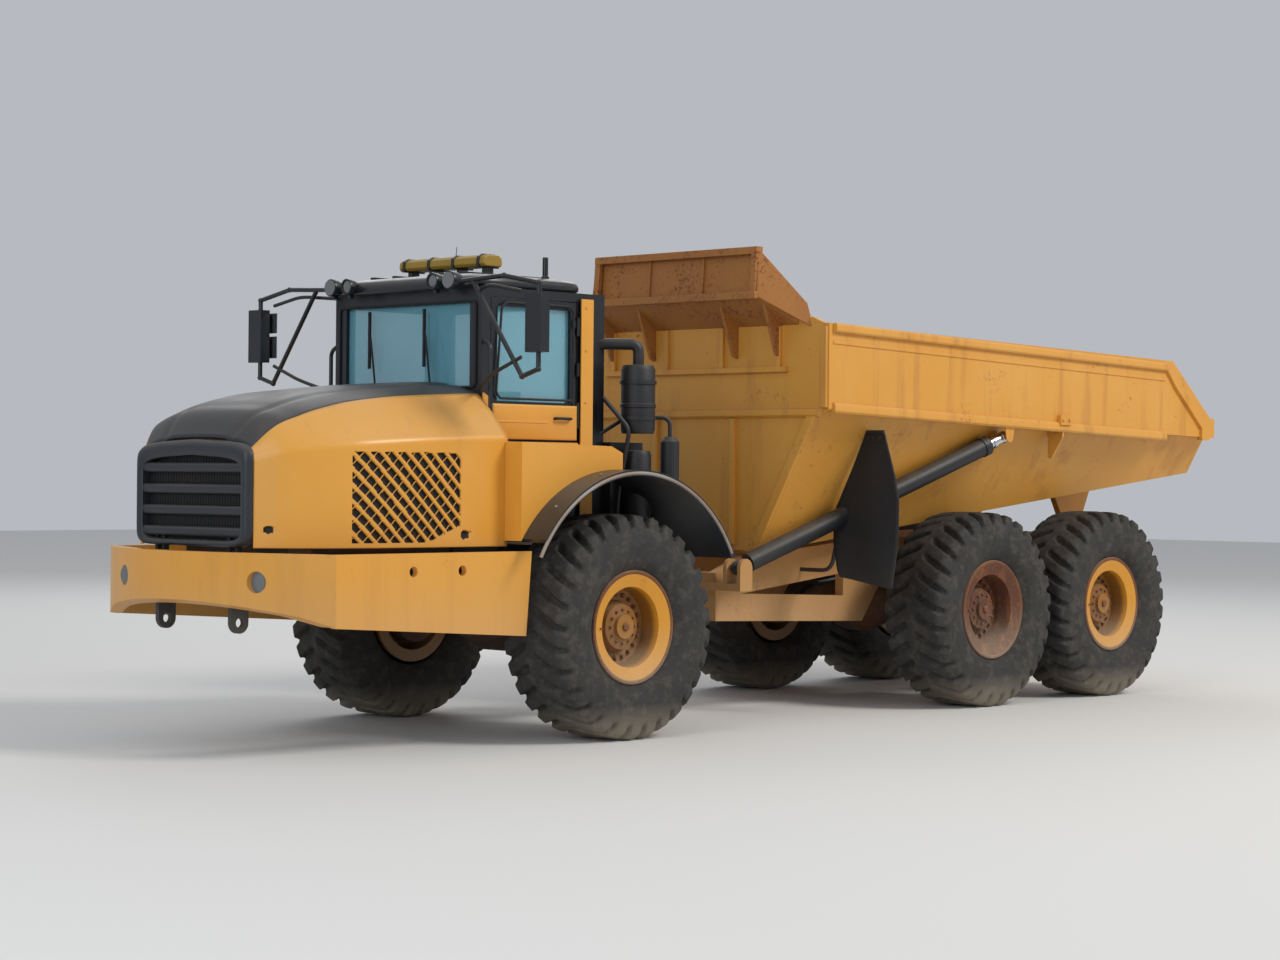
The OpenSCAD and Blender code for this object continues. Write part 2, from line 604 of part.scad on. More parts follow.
module bed_headboard() color(body_yellow) {
  x0 = bed_front_x;
  low_y = bed_y - side_w - side_lean - fit_gap;
  high_z = rail_z - 10;
  high_y = low_y + side_lean * (high_z - ledge_z) / (rail_z - ledge_z);
  low_z = ledge_h(x0 - wall_t) - fit_gap;
  // front wall, between the sides above the ledge and over the full section below it
  translate([x0 - wall_t, 0, 0]) rotate([90, 0, 90]) linear_extrude(wall_t) polygon([
    [-floor_y, floor_z], [floor_y, floor_z], [flank_y, low_z], [low_y, low_z], [high_y, high_z],
    [-high_y, high_z], [-low_y, low_z], [-flank_y, low_z]]);
  // spill guard that leans over the hitch
  side_profile([[x0 - wall_t, rail_z - 60], [x0, rail_z - 60], [x0 + guard_reach, guard_z - 360],
    [x0 + guard_reach, guard_z], [x0 + guard_reach - 50, guard_z], [x0 - wall_t, rail_z + 60]], -guard_y, guard_y);
}

// Bumper and skirts

seam_x = front_overhang - bumper_bow;
bumper_t = 90;
lamp_y = 780;
lamp_z = 1230;
lamp_r = 75;
bow_r = (bumper_y * bumper_y + bumper_bow * bumper_bow) / (2 * bumper_bow);

module bumper() color(body_yellow) at_front() difference() {
  intersection() {
    translate([0, 0, 700]) linear_extrude(bumper_z - 700) difference() {
      translate([front_overhang - bow_r, 0]) circle(r = bow_r, $fn = 200);
      translate([front_overhang - bow_r - bumper_t, 0]) circle(r = bow_r, $fn = 200);
      translate([-6000, -3000]) square([6000 + seam_x, 6000]);
    }
    side_profile([[seam_x - 10, 925], [front_overhang - 250, 1000], [front_overhang + 10, 1090],
      [front_overhang + 10, 1500], [seam_x - 10, 1500]], -2000, 2000);
  }
  both_sides() translate([seam_x, lamp_y, lamp_z]) rotate([0, 90, 0]) cylinder(r = lamp_r + fit_gap, h = 1000);
}

module side_skirts() color(body_yellow) at_front() both_sides() difference() {
  side_profile([[arch_out - 255, bumper_z - 620], [seam_x - fit_gap, 925], [seam_x - fit_gap, bumper_z], [1000, bumper_z],
    [arch_out - 305, bumper_z]], bumper_y - 50, bumper_y);
  for (x = [1560, 2020]) translate([x, bumper_y, bumper_z - 130]) rotate([90, 0, 0]) cylinder(r = 38, h = 200, center = true);
}

// Fenders and decks

deck_z = crease_z - 40;
arch_gap = 290;       // above the tread of the tyre
arch_t = 45;
arch_in = tyre_d / 2 + arch_gap;
arch_out = arch_in + arch_t;

module arch_ring(r_in, r_out, y0, y1) translate([0, y1, axle_z]) rotate([90, 0, 0])
  linear_extrude(y1 - y0) difference() {
    circle(r = r_out, $fn = 240);
    circle(r = r_in, $fn = 240);
    polygon([[0, 0], [-2600, 1290], [-2600, -2000], [2600, -2000], [2600, 1787]]);
  }

module fenders() color(frame_black) at_front() both_sides() arch_ring(arch_in, arch_out, 940, 1580);

module decks() color(body_yellow) at_front() both_sides() difference() {
  side_profile([[-60, 1500], [hood_rear_x - 12, 1500], [hood_rear_x - 12, deck_z], [60, deck_z - 20],
    [-60, deck_z - 70]], cab_y + fit_gap, 1330);
  translate([0, 0, axle_z]) rotate([90, 0, 0]) cylinder(r = arch_out + fit_gap, h = 4000, center = true, $fn = 96);
}

// Hood

// Sections of the hood: distance ahead of the front axle, half width, top panel edge y and z, centre z
hood_sections = [
  [hood_rear_x, hood_y, 820, hood_top_z - 70, hood_top_z],
  [1900, hood_y - 25, 815, 2500, 2600],
  [2500, hood_y - 110, 790, 2390, 2500],
  [2800, hood_y - 220, 750, 2300, 2410],
  [grille_x - 60, hood_y - 400, 700, crease_z - 20, 2290]
];

module hood_shell() color(body_yellow) at_front() both_sides() {
  loft([for (s = hood_sections) [
    [s[0], s[1], hood_z], [s[0], s[1], crease_z], [s[0], s[2], s[3]],
    [s[0], s[2] - 4, s[3] - panel_t], [s[0], s[1] - panel_t * 1.6, crease_z - panel_t], [s[0], s[1] - panel_t, hood_z]]],
    walled = true);
}

module hood_top() color(frame_black) at_front() {
  loft([for (s = hood_sections) [
    [s[0], s[2] - fit_gap, s[3]], [s[0], s[2] * 0.6, s[4] - 15], [s[0], 0, s[4]], [s[0], -s[2] * 0.6, s[4] - 15],
    [s[0], fit_gap - s[2], s[3]], [s[0], fit_gap + 4 - s[2], s[3] - panel_t],
    [s[0], -s[2] * 0.6, s[4] - 15 - panel_t], [s[0], 0, s[4] - panel_t],
    [s[0], s[2] * 0.6, s[4] - 15 - panel_t], [s[0], s[2] - 4 - fit_gap, s[3] - panel_t]]], walled = true);
}

grille_t = 60;

module grille() color(frame_black) at_front() difference() {
  union() {
    block([grille_x - grille_t + fit_gap, -hood_y + 400, hood_z], [grille_x, hood_y - 400, crease_z - 20]);
    // lugs on the hood's hinge pins
    both_sides() translate([0, hood_lug_y, 0])
      block([hood_pin_x - 28, -27.2, hood_pin_z - 30], [grille_x - grille_t + 10, 27.2, hood_pin_z + 30]);
  }
  for (z = [hood_z + 180 : 130 : crease_z - 160])
    block([grille_x - 100, -hood_y + 500, z], [grille_x + 10, hood_y - 500, z + 85]);
  // notches that let the plate swing past the posts of the hinge
  both_sides() for (s = [-1, 1]) translate([0, hood_lug_y + s * 46, 0])
    block([grille_x - 100, -18.8, hood_z - 1], [grille_x + 10, 18.8, hood_pin_z + 35]);
  translate([hood_pin_x, 0, hood_pin_z]) rotate([90, 0, 0]) cylinder(r = hood_pin_r + fit_gap, h = 2000, center = true);
}

// Cab

door_x0 = cab_rear_x + 110;
door_x1 = cab_front_x - 90;
door_z0 = deck_z + 15;
door_z1 = cab_top_z - 70;
sill_z = 2540;
door_gap = 6;
hinge_x = door_x0 + 2;
hinge_y = cab_y + 16;
hinge_r = 14;
hinge_z = [door_z0 + 180, door_z1 - 260];

// Half of a door hinge: a knuckle from z0 to z1 and its leaf back to the panel between x0 and x1
module knuckle(z0, z1, x0, x1) {
  translate([hinge_x, hinge_y, z0]) cylinder(r = hinge_r, h = z1 - z0);
  block([x0, cab_y - 5, z0], [x1, hinge_y - 4, z1]);
}

module cab_shell() color(frame_black) at_front() {
  for (z = hinge_z) knuckle(z, z + 60, hinge_x - 50, hinge_x);
  difference() {
  block([cab_rear_x, -cab_y, cab_floor_z], [cab_front_x, cab_y, cab_top_z - fit_gap]);
  block([cab_rear_x + cab_t, -cab_y + cab_t, cab_floor_z + cab_t], [cab_front_x - cab_t, cab_y - cab_t, cab_top_z + 10]);
  // windscreen, rear window, right-hand window and door opening
  block([cab_front_x - 100, -cab_y + 130, 2640], [cab_front_x + 10, cab_y - 130, cab_top_z - 110]);
  block([cab_rear_x - 10, -cab_y + 180, sill_z], [cab_rear_x + 100, cab_y - 180, cab_top_z - 110]);
  block([door_x0 + 60, -cab_y - 10, sill_z], [door_x1 - 60, -cab_y + 100, cab_top_z - 110]);
  block([door_x0, cab_y - 100, door_z0], [door_x1, cab_y + 10, door_z1]);
  }
}

module cab_roof() color(frame_black) at_front()
  loft([
    for (s = [[0, 0], [roof_t - 50, 0], [roof_t, 90]]) let (z = cab_top_z + s[0], d = s[1]) [
      [cab_rear_x - 60 + d, -cab_y - 20 + d, z], [cab_front_x + 130 - d, -cab_y - 20 + d, z],
      [cab_front_x + 130 - d, cab_y + 20 - d, z], [cab_rear_x - 60 + d, cab_y + 20 - d, z]]]);

module cab_glass() color([0.5, 0.8, 0.85, 0.5]) at_front() {
  g = 8;
  block([cab_front_x - 40, -cab_y + 130.2, 2640.2], [cab_front_x - 40 + g, cab_y - 130.2, cab_top_z - 110.2]);
  block([cab_rear_x + 30, -cab_y + 180.2, sill_z + 0.2], [cab_rear_x + 30 + g, cab_y - 180.2, cab_top_z - 110.2]);
  block([door_x0 + 60.2, -cab_y + 30, sill_z + 0.2], [door_x1 - 60.2, -cab_y + 30 + g, cab_top_z - 110.2]);
}

module cab_door() color(frame_black) at_front() {
  for (z = hinge_z) knuckle(z + 60 + fit_gap, z + 120, hinge_x, hinge_x + 50);
  difference() {
  block([door_x0 + door_gap, cab_y - cab_t, door_z0 + door_gap], [door_x1 - door_gap, cab_y, door_z1 - door_gap]);
  block([door_x0 + 70, cab_y - cab_t - 10, sill_z], [door_x1 - 70, cab_y + 10, door_z1 - 70]);
  }
}

module door_glass() color([0.5, 0.8, 0.85, 0.5]) at_front()
  block([door_x0 + 70.2, cab_y - 34, sill_z + 0.2], [door_x1 - 70.2, cab_y - 26, door_z1 - 70.2]);

module cab_interior() color([0.2, 0.2, 0.22]) at_front() {
  floor = cab_floor_z + cab_t + fit_gap;
  // seat base, cushion and backrest
  block([80, -230, floor], [480, 230, floor + 330]);
  block([60, -260, floor + 330], [560, 260, floor + 450]);
  side_profile([[60, floor + 430], [170, floor + 430], [90, floor + 1080], [-20, floor + 1080]], -240, 240);
  // dashboard with the steering column and wheel
  block([700, -500, floor], [cab_front_x - cab_t - 20, 500, 2560]);
  bar([720, 0, 2300], [545, 0, 2584], 35);
  translate([545, 0, 2584]) rotate([0, -32, 0]) rotate_extrude() translate([200, 0]) circle(r = 18, $fn = 16);
  translate([545, 0, 2584]) rotate([0, -32, 0]) cube([40, 400, 16], center = true);
}

// Roof, mirrors and lamps

module mirrors() color(frame_black) at_front() both_sides() {
  r = 18;
  x = cab_front_x + 130 + r + fit_gap;
  bent_tube([[x, cab_y - 60, cab_top_z + 30], [x, cab_y + 400, cab_top_z + 50],
    [x, cab_y + 770, cab_top_z - 20], [x, cab_y + 770, cab_top_z - 640],
    [x, cab_y + 600, cab_top_z - 690], [x, cab_y + 60, cab_top_z + 30]], r);
  block([x - 30, cab_y + 690, cab_top_z - 520], [x + 60, cab_y + 850, cab_top_z - 100]);
}

module lamps() color("white") at_front() both_sides() {
  translate([cab_front_x + 130 + fit_gap, cab_y - 160, cab_top_z + 40]) rotate([0, 90, 0]) cylinder(r = 60, h = 70);
  translate([front_overhang - 180, lamp_y, lamp_z]) rotate([0, 90, 0]) cylinder(r = lamp_r, h = 40);
}

module beacon_bar() color("gold") at_front() {
  block([420, -500, cab_top_z + roof_t + 60], [640, 500, cab_top_z + roof_t + 160]);
  both_sides() block([480, 300, cab_top_z + roof_t + fit_gap], [580, 360, cab_top_z + roof_t + 60]);
}

module intake_stack() color(frame_black) at_front() {
  block([fit_gap - 440, 560, 1500], [-240, 740, cab_top_z + 10]);
}

module tanks() color(frame_black) at_front() both_sides() {
  block([-800, front_rail_y - beam_w / 2 + 5, front_rail_z + front_rail_h + fit_gap], [-440, 820, 2250]);
}

front_frame();
powertrain();
front_axle();
bumper();
side_skirts();
fenders();
decks();
cab_shell();
cab_roof();
cab_glass();
cab_interior();
mirrors();
lamps();
beacon_bar();
intake_stack();
tanks();
hood_shell();
hood_top();
grille();
cab_door();
door_glass();
hitch();
steer_barrel(1);  // steer_barrel_left
steer_barrel(-1);  // steer_barrel_right
steer_rod(1);  // steer_rod_left
steer_rod(-1);  // steer_rod_right
rear_frame();
bogie_beams();
bogie_axles();
mud_flaps();
hoist_barrel(1);  // hoist_barrel_left
hoist_barrel(-1);  // hoist_barrel_right
hoist_rod(1);  // hoist_rod_left
hoist_rod(-1);  // hoist_rod_right
bed_floor();
bed_sides();
bed_headboard();
for (w = wheels) {
  wheel_place(w) tyre();
  wheel_place(w) rim();
}
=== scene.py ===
# Articulated haul truck: looks around its fixed frame
import math

import bmesh
import bpy
import numpy as np
from mathutils import Matrix, Vector


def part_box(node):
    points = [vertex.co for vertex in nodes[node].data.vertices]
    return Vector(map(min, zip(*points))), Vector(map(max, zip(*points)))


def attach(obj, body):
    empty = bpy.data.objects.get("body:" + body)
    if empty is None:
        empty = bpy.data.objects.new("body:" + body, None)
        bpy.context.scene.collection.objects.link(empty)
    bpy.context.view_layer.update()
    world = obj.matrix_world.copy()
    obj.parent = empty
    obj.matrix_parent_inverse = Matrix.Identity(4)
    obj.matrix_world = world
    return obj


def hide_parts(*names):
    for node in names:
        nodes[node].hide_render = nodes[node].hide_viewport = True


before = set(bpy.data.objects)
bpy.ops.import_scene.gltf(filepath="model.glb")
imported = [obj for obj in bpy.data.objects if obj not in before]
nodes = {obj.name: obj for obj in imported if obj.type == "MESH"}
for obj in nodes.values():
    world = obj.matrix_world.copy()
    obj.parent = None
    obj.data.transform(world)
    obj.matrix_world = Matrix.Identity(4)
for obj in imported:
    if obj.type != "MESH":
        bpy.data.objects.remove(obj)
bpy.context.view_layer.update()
scene = bpy.context.scene
print("frame loaded:", len(nodes), "nodes")


# Shader helpers

def operator(operation, swapped=False):
    return lambda self, other: self.math(operation, *((other, self) if swapped else (self, other)))


class Signal:
    # A value on its way through a material. Operators add Math nodes.
    __add__, __radd__ = operator("ADD"), operator("ADD", True)
    __sub__, __rsub__ = operator("SUBTRACT"), operator("SUBTRACT", True)
    __mul__, __truediv__ = operator("MULTIPLY"), operator("DIVIDE")

    def __init__(self, shader, socket):
        self.shader, self.socket = shader, socket

    def math(self, operation, *values):
        return self.shader.node("ShaderNodeMath", {"operation": operation}, dict(enumerate(values)))

    def above(self, edge, soft):  # 0 below the edge, 1 above it, over a soft width
        return self.shader.node("ShaderNodeMapRange", {"interpolation_type": "SMOOTHSTEP"},
                                {"Value": self, "From Min": edge - soft, "From Max": edge + soft}, "Result")

    def clamped(self):
        return self.shader.node("ShaderNodeClamp", {}, {"Value": self}, "Result")


class Shader:
    def __init__(self, name):
        self.material = bpy.data.materials.new(name)
        self.material.use_nodes = True
        self.tree = self.material.node_tree
        self.tree.nodes.clear()

    def node(self, kind, settings=None, values=None, output=0):
        made = self.tree.nodes.new(kind)
        for key, value in (settings or {}).items():
            setattr(made, key, value)
        for key, value in (values or {}).items():
            socket = made.inputs[key]
            if isinstance(value, Signal):
                self.tree.links.new(value.socket, socket)
            elif hasattr(value, "__len__") and len(value) == 3 and socket.type == "RGBA":
                socket.default_value = (*value, 1)
            else:
                socket.default_value = value
        return Signal(self, made.outputs[output])

    def noise(self, scale, detail=4.0, rough=0.55, stretch=(1, 1, 1), shift=(0, 0, 0)):
        where = self.node("ShaderNodeTexCoord", output="Object")
        where = self.node("ShaderNodeMapping", {}, {"Vector": where, "Scale": stretch, "Location": shift})
        return self.node("ShaderNodeTexNoise", {}, {"Vector": where, "Scale": scale, "Detail": detail,
                                                    "Roughness": rough}, "Fac")

    def place(self, axis="Z"):  # metres along an axis, or above the ground
        where = self.node("ShaderNodeTexCoord", output="Object")
        return self.node("ShaderNodeSeparateXYZ", {}, {"Vector": where}, axis)

    def facing(self, axis="Z"):  # how far the surface points along an axis, from -1 to 1
        normal = self.node("ShaderNodeNewGeometry", output="Normal")
        return self.node("ShaderNodeSeparateXYZ", {}, {"Vector": normal}, axis)

    def blend(self, share, low, high):
        return self.node("ShaderNodeMix", {"data_type": "RGBA"}, {0: share, 6: low, 7: high}, 2)

    def bump(self, height, strength, distance):
        return self.node("ShaderNodeBump", {}, {"Height": height, "Strength": strength, "Distance": distance}, "Normal")

    def finish(self, **values):
        surface = self.node("ShaderNodeBsdfPrincipled", {}, {k.replace("_", " "): v for k, v in values.items()}, "BSDF")
        out = self.tree.nodes.new("ShaderNodeOutputMaterial")
        self.tree.links.new(surface.socket, out.inputs["Surface"])
        return self.material


# Finishes

paint = {
    "yellow": (0.72, 0.315, 0.03), "fadedYellow": (0.76, 0.41, 0.1), "rust": (0.23, 0.075, 0.022),
    "oldRust": (0.36, 0.13, 0.035), "dust": (0.46, 0.39, 0.29),
}


def fadedPaint(s, base, faded, share, scale=1.0):
    # paint with sun-faded patches, a fine grain, and the field whose peaks are chips
    patches = s.noise(0.9 * scale, 3, 0.6)
    grain = s.noise(14 * scale, 5, 0.7, shift=(3, 1, 2))
    chip = s.noise(26 * scale, 6, 0.75) * 0.6 + s.noise(2.2 * scale, 4, 0.7, shift=(7, 0, 2)) * 0.4
    return s.blend((patches * 1.5 - 0.35).clamped() * share, base, faded), patches, grain, chip


def wornPaint(name, base, faded, gloss=0.38, rustShare=0.5, dustHeight=1.6, streaks=0.3, scale=1.0, dishShadeShare=0.0):
    # faded paint, vertical dirt streaks, chips down to rust, road dust low down, and on wheels painted shade in the
    # dish
    s = Shader(name)
    colour, patches, grain, chip = fadedPaint(s, base, faded, 0.55, scale)
    run = s.noise(5.5 * scale, 4, 0.6, stretch=(1, 1, 0.09), shift=(0, 4, 1))
    colour = s.blend(run.above(0.6, 0.08) * streaks, colour, paint["oldRust"])
    edge = 0.67 - 0.085 * rustShare
    bare = chip.above(edge, 0.012)
    halo = chip.above(edge - 0.03, 0.04) * 0.45
    colour = s.blend(halo * rustShare, colour, paint["oldRust"])
    colour = s.blend(bare * min(1, rustShare * 1.4), colour, paint["rust"])
    if dishShadeShare:  # painted shade in the dish of a wheel, whose disc lies less far out than its flange: the recessed disc is darkened to a mottled dark brown
        out = s.place("Y")
        out = out.math("ABSOLUTE", out)
        colour = s.blend((1 - out.above(1.445, 0.03)) * dishShadeShare * (patches * 0.5 + 0.6), colour, (0.1, 0.032, 0.012))
    low = (1 - (s.place() / dustHeight)).clamped()
    film = (low * 0.75 + s.facing().above(0.6, 0.3) * 0.28) * (grain * 0.9 + 0.35)
    colour = s.blend(film.clamped(), colour, paint["dust"])
    rough = (gloss + bare * 0.35 + film * 0.4 + (patches - 0.5) * 0.15).clamped()
    bump = s.bump(chip * -0.4 + grain * 0.25 + s.noise(1.6, 2) * 0.6, 0.16, 0.004)
    return s.finish(Base_Color=colour, Roughness=rough, Normal=bump)


def satinBlack(name, base, rough=0.5, dustShare=0.35, scale=1.0):
    # black enamel with grey dust on its upper faces and a soft mottled sheen
    s = Shader(name)
    mottled = s.noise(3.5 * scale, 5, 0.65)
    fine = s.noise(60 * scale, 3, 0.6, shift=(1, 1, 0))
    up = s.facing().above(0.45, 0.4)
    low = (1 - (s.place() / 1.5)).clamped()
    dust = ((up * 0.5 + low * 0.8) * dustShare * (mottled * 1.6)).clamped()
    colour = s.blend(dust, base, paint["dust"])
    colour = s.blend(mottled.above(0.62, 0.06) * 0.15 * dustShare, colour, paint["oldRust"])
    return s.finish(Base_Color=colour, Roughness=(rough + dust * 0.35 + (mottled - 0.5) * 0.2).clamped(),
                    Normal=s.bump(fine * 0.3 + mottled, 0.12, 0.003))


def tyreRubber(name):
    # weathered rubber: mottled dark tones, pale dusty patches, and dust low down near the ground
    s = Shader(name)
    mottled = s.noise(5, 6, 0.7)
    fine = s.noise(90, 4, 0.65, shift=(2, 2, 2))
    colour = s.blend((mottled * 1.3 - 0.15).clamped(), (0.017, 0.016, 0.016), (0.05, 0.046, 0.042))
    colour = s.blend((s.noise(11, 5, 0.7, shift=(5, 1, 0)).above(0.56, 0.1)) * 0.4, colour, (0.11, 0.095, 0.078))
    low = (1 - (s.place() / 0.28)).clamped()
    colour = s.blend(low * 0.5, colour, paint["dust"])
    return s.finish(Base_Color=colour, Roughness=(0.82 + fine * 0.12).clamped(),
                    Normal=s.bump(fine * 0.4 + mottled, 0.35, 0.006))


def oiledSteel(name, base, rough):
    s = Shader(name)
    mottled = s.noise(6, 5, 0.7)
    stain = s.noise(2.0, 4, 0.6, shift=(4, 4, 0))
    colour = s.blend(stain.above(0.5, 0.15) * 0.6, base, paint["rust"])
    colour = s.blend((s.facing().above(0.3, 0.4) * 0.45 * mottled).clamped(), colour, paint["dust"])
    return s.finish(Base_Color=colour, Roughness=(rough + mottled * 0.3).clamped(),
                    Normal=s.bump(mottled, 0.3, 0.006))


def chromeRod(name):
    s = Shader(name)
    film = s.noise(18, 4, 0.6)
    return s.finish(Base_Color=(0.62, 0.62, 0.63), Metallic=1.0, Roughness=(0.12 + film * 0.2).clamped(),
                    Normal=s.bump(film, 0.03, 0.002))


def windowGlass(name):
    s = Shader(name)
    film = s.noise(3, 4, 0.6)
    return s.finish(Base_Color=(0.2, 0.52, 0.64), Roughness=(0.03 + film * 0.06).clamped(), IOR=1.45,
                    Alpha=(0.34 + film * 0.12).clamped())


def plainPlastic(name, base, rough=0.6):
    s = Shader(name)
    grain = s.noise(120, 3, 0.6)
    mottled = s.noise(4, 3, 0.6)
    colour = s.blend((mottled * 0.5).clamped(), base, tuple(min(1, c * 1.5 + 0.02) for c in base))
    return s.finish(Base_Color=colour, Roughness=(rough + grain * 0.15).clamped(), Normal=s.bump(grain, 0.15, 0.001))


def ventedPaint(name, base, faded):
    # the hood's yellow, painted near black where the mesh attribute says a vent is sunk: painted shade inside the vents
    # and round holes
    s = Shader(name)
    colour, _, grain, chip = fadedPaint(s, base, faded, 0.5)
    run = s.noise(6, 4, 0.6, stretch=(1, 1, 0.08), shift=(0, 4, 1))
    colour = s.blend(run.above(0.62, 0.07) * 0.12, colour, paint["oldRust"])
    colour = s.blend(chip.above(0.66, 0.01) * 0.6, colour, paint["rust"])
    film = s.facing().above(0.5, 0.3) * 0.2 * (grain + 0.3)
    colour = s.blend(film.clamped(), colour, paint["dust"])
    sunk = s.node("ShaderNodeAttribute", {"attribute_name": "recess"}, {}, "Fac")
    # painted shade: sunk vent cells and holes are painted near black
    colour = s.blend(sunk.above(0.45, 0.12), colour, (0.01, 0.009, 0.008))
    return s.finish(Base_Color=colour, Roughness=(0.34 + film * 0.4 + sunk * 0.4).clamped(),
                    Normal=s.bump(chip * -0.4 + grain * 0.25, 0.12, 0.003))


bodyYellow = wornPaint("bodyYellow", paint["yellow"], paint["fadedYellow"], rustShare=0.25, streaks=0.1,
                       dustHeight=1.3)
bedYellow = wornPaint("bedYellow", (0.66, 0.29, 0.03), (0.74, 0.42, 0.12), gloss=0.5, rustShare=0.55)
guardYellow = wornPaint("guardYellow", (0.34, 0.125, 0.022), (0.5, 0.23, 0.05), gloss=0.6, rustShare=1.35,
                        streaks=0.9, scale=1.3)
chassisYellow = wornPaint("chassisYellow", (0.52, 0.21, 0.018), (0.56, 0.27, 0.05), gloss=0.55, streaks=0.25,
                          dustHeight=2.0)
# the rims' recessed dish is darkened as painted shade
rimYellow = wornPaint("rimYellow", (0.7, 0.3, 0.016), (0.62, 0.29, 0.04), gloss=0.45, rustShare=0.45, streaks=0.15,
                      dustHeight=0.9, scale=2.0, dishShadeShare=0.85)
rimRust = wornPaint("rimRust", (0.095, 0.03, 0.014), (0.15, 0.055, 0.024), gloss=0.7, rustShare=1.0, streaks=0.4,
                    dustHeight=0.9, scale=2.0)
frameBlack = satinBlack("frameBlack", (0.012, 0.013, 0.016), 0.5, 0.28)
cabBlack = satinBlack("cabBlack", (0.01, 0.012, 0.016), 0.32, 0.18)
hoodBlack = satinBlack("hoodBlack", (0.016, 0.019, 0.026), 0.42, 0.25)
axleGrime = oiledSteel("axleGrime", (0.03, 0.028, 0.026), 0.6)
engineGrey = oiledSteel("engineGrey", (0.1, 0.1, 0.1), 0.6)
rubberBlack = satinBlack("rubberBlack", (0.009, 0.009, 0.011), 0.72, 0.18, 2.0)
tyreBlack = tyreRubber("tyreBlack")
chrome = chromeRod("chrome")
glass = windowGlass("glass")
cabPlastic = plainPlastic("cabPlastic", (0.035, 0.037, 0.04))
lampGlass = plainPlastic("lampGlass", (0.13, 0.135, 0.14), 0.12)
beaconAmber = plainPlastic("beaconAmber", (0.3, 0.18, 0.015), 0.35)
hoodYellow = ventedPaint("hoodYellow", paint["yellow"], paint["fadedYellow"])
screenBlack = satinBlack("screenBlack", (0.006, 0.006, 0.007), 0.7, 0.2)
# pale steel tone for the fender beads: a painted highlight along the black fenders' edge, with rust stains and dust
edgeHighlightAndWear = oiledSteel("edgeHighlightAndWear", (0.3, 0.28, 0.25), 0.5)
hubRust = wornPaint("hubRust", (0.13, 0.045, 0.018), (0.24, 0.1, 0.03), gloss=0.65, rustShare=1.0, dustHeight=0.9,
                    scale=2.5)

finishOf = {}
for material, wearers in (
        (bodyYellow, "bumper side_skirts decks"), (bedYellow, "bed_floor bed_sides bed_headboard"),
        (chassisYellow, "rear_frame"), (hoodYellow, "hood_shell"), (hoodBlack, "hood_top grille"),
        (cabBlack, "fenders cab_shell cab_roof mirrors intake_stack cab_door"), (glass, "cab_glass door_glass"),
        (frameBlack, "front_frame tanks hitch bogie_beams"), (engineGrey, "powertrain"),
        (axleGrime, "front_axle bogie_axles"), (rubberBlack, "mud_flaps"), (cabPlastic, "cab_interior"),
        (lampGlass, "lamps"), (beaconAmber, "beacon_bar")):
    finishOf.update(dict.fromkeys(wearers.split(), material))
for side in ("left", "right"):
    for kind in ("steer", "hoist"):
        finishOf[f"{kind}_barrel_{side}"] = frameBlack
        finishOf[f"{kind}_rod_{side}"] = chrome
    for end in ("front", "mid", "rear"):
        finishOf[f"tyre_{end}_{side}"] = tyreBlack
        finishOf[f"rim_{end}_{side}"] = rimRust if (end, side) == ("mid", "left") else rimYellow
for name, material in finishOf.items():
    nodes[name].data.materials.clear()
    nodes[name].data.materials.append(material)
print("finishes:", len(finishOf))


# Shapes: every piece is arrays of points and faces, joined into one mesh


def middleOf(node):
    low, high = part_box(node)
    return (np.array(low) + np.array(high)) / 2


frontAxle = middleOf("tyre_front_left")[0]  # the hood is measured from it


def fullTurn(count):
    return np.linspace(0, 2 * np.pi, count, endpoint=False)


def signedPower(wave, power):
    return np.sign(wave) * np.abs(wave) ** power


def gridOf(x, y, z):
    return np.stack(np.broadcast_arrays(x, y, z), -1)


def gridFaces(rows, columns, closeRows=False, closeColumns=False):
    # quads between neighbours of a grid; a closed way joins its last line to its first
    i = np.arange(rows if closeRows else rows - 1)[:, None]
    j = np.arange(columns if closeColumns else columns - 1)[None, :]
    nextI, nextJ = (i + 1) % rows, (j + 1) % columns
    corners = [i * columns + j, nextI * columns + j, nextI * columns + nextJ, i * columns + nextJ]
    return np.stack(np.broadcast_arrays(*corners), -1).reshape(-1, 4).tolist()


def sheetOf(points, closeRows=False, closeColumns=False, caps=False):
    rows, columns = points.shape[:2]
    faces = gridFaces(rows, columns, closeRows, closeColumns)
    if caps:
        faces += [list(range(columns)), list(range((rows - 1) * columns, rows * columns))]
    return points.reshape(-1, 3), faces


def skin(rings):  # a closed ring carried through all rings, with a cap on each end
    return sheetOf(np.array(rings, float), closeColumns=True, caps=True)


def joined(parts):
    points, faces, start = [], [], 0
    for part, partFaces in parts:
        points.append(np.asarray(part, float))
        faces += [[start + k for k in face] for face in partFaces]
        start += len(part)
    return np.vstack(points), faces


def boxOf(low, high):
    (x0, y0, z0), (x1, y1, z1) = low, high
    return skin([[(x0, y0, z), (x1, y0, z), (x1, y1, z), (x0, y1, z)] for z in (z0, z1)])


def slab(outline, axis, low, high):
    # a flat outline carried along one axis from low to high
    flat = np.array(outline, float)
    return skin([np.insert(flat, axis, at, axis=1) for at in (low, high)])


def bentPath(corners, radius, steps=7):
    # straight runs, with a curve through each inner corner that starts and ends a radius away from it
    corners = np.array(corners, float)
    path = [corners[0]]
    t = np.linspace(0, 1, steps)[:, None]
    for before, corner, after in zip(corners, corners[1:], corners[2:]):
        a = corner + (before - corner) / np.linalg.norm(before - corner) * radius
        b = corner + (after - corner) / np.linalg.norm(after - corner) * radius
        path += list((1 - t) ** 2 * a + 2 * t * (1 - t) * corner + t ** 2 * b)
    return np.array(path + [corners[-1]])


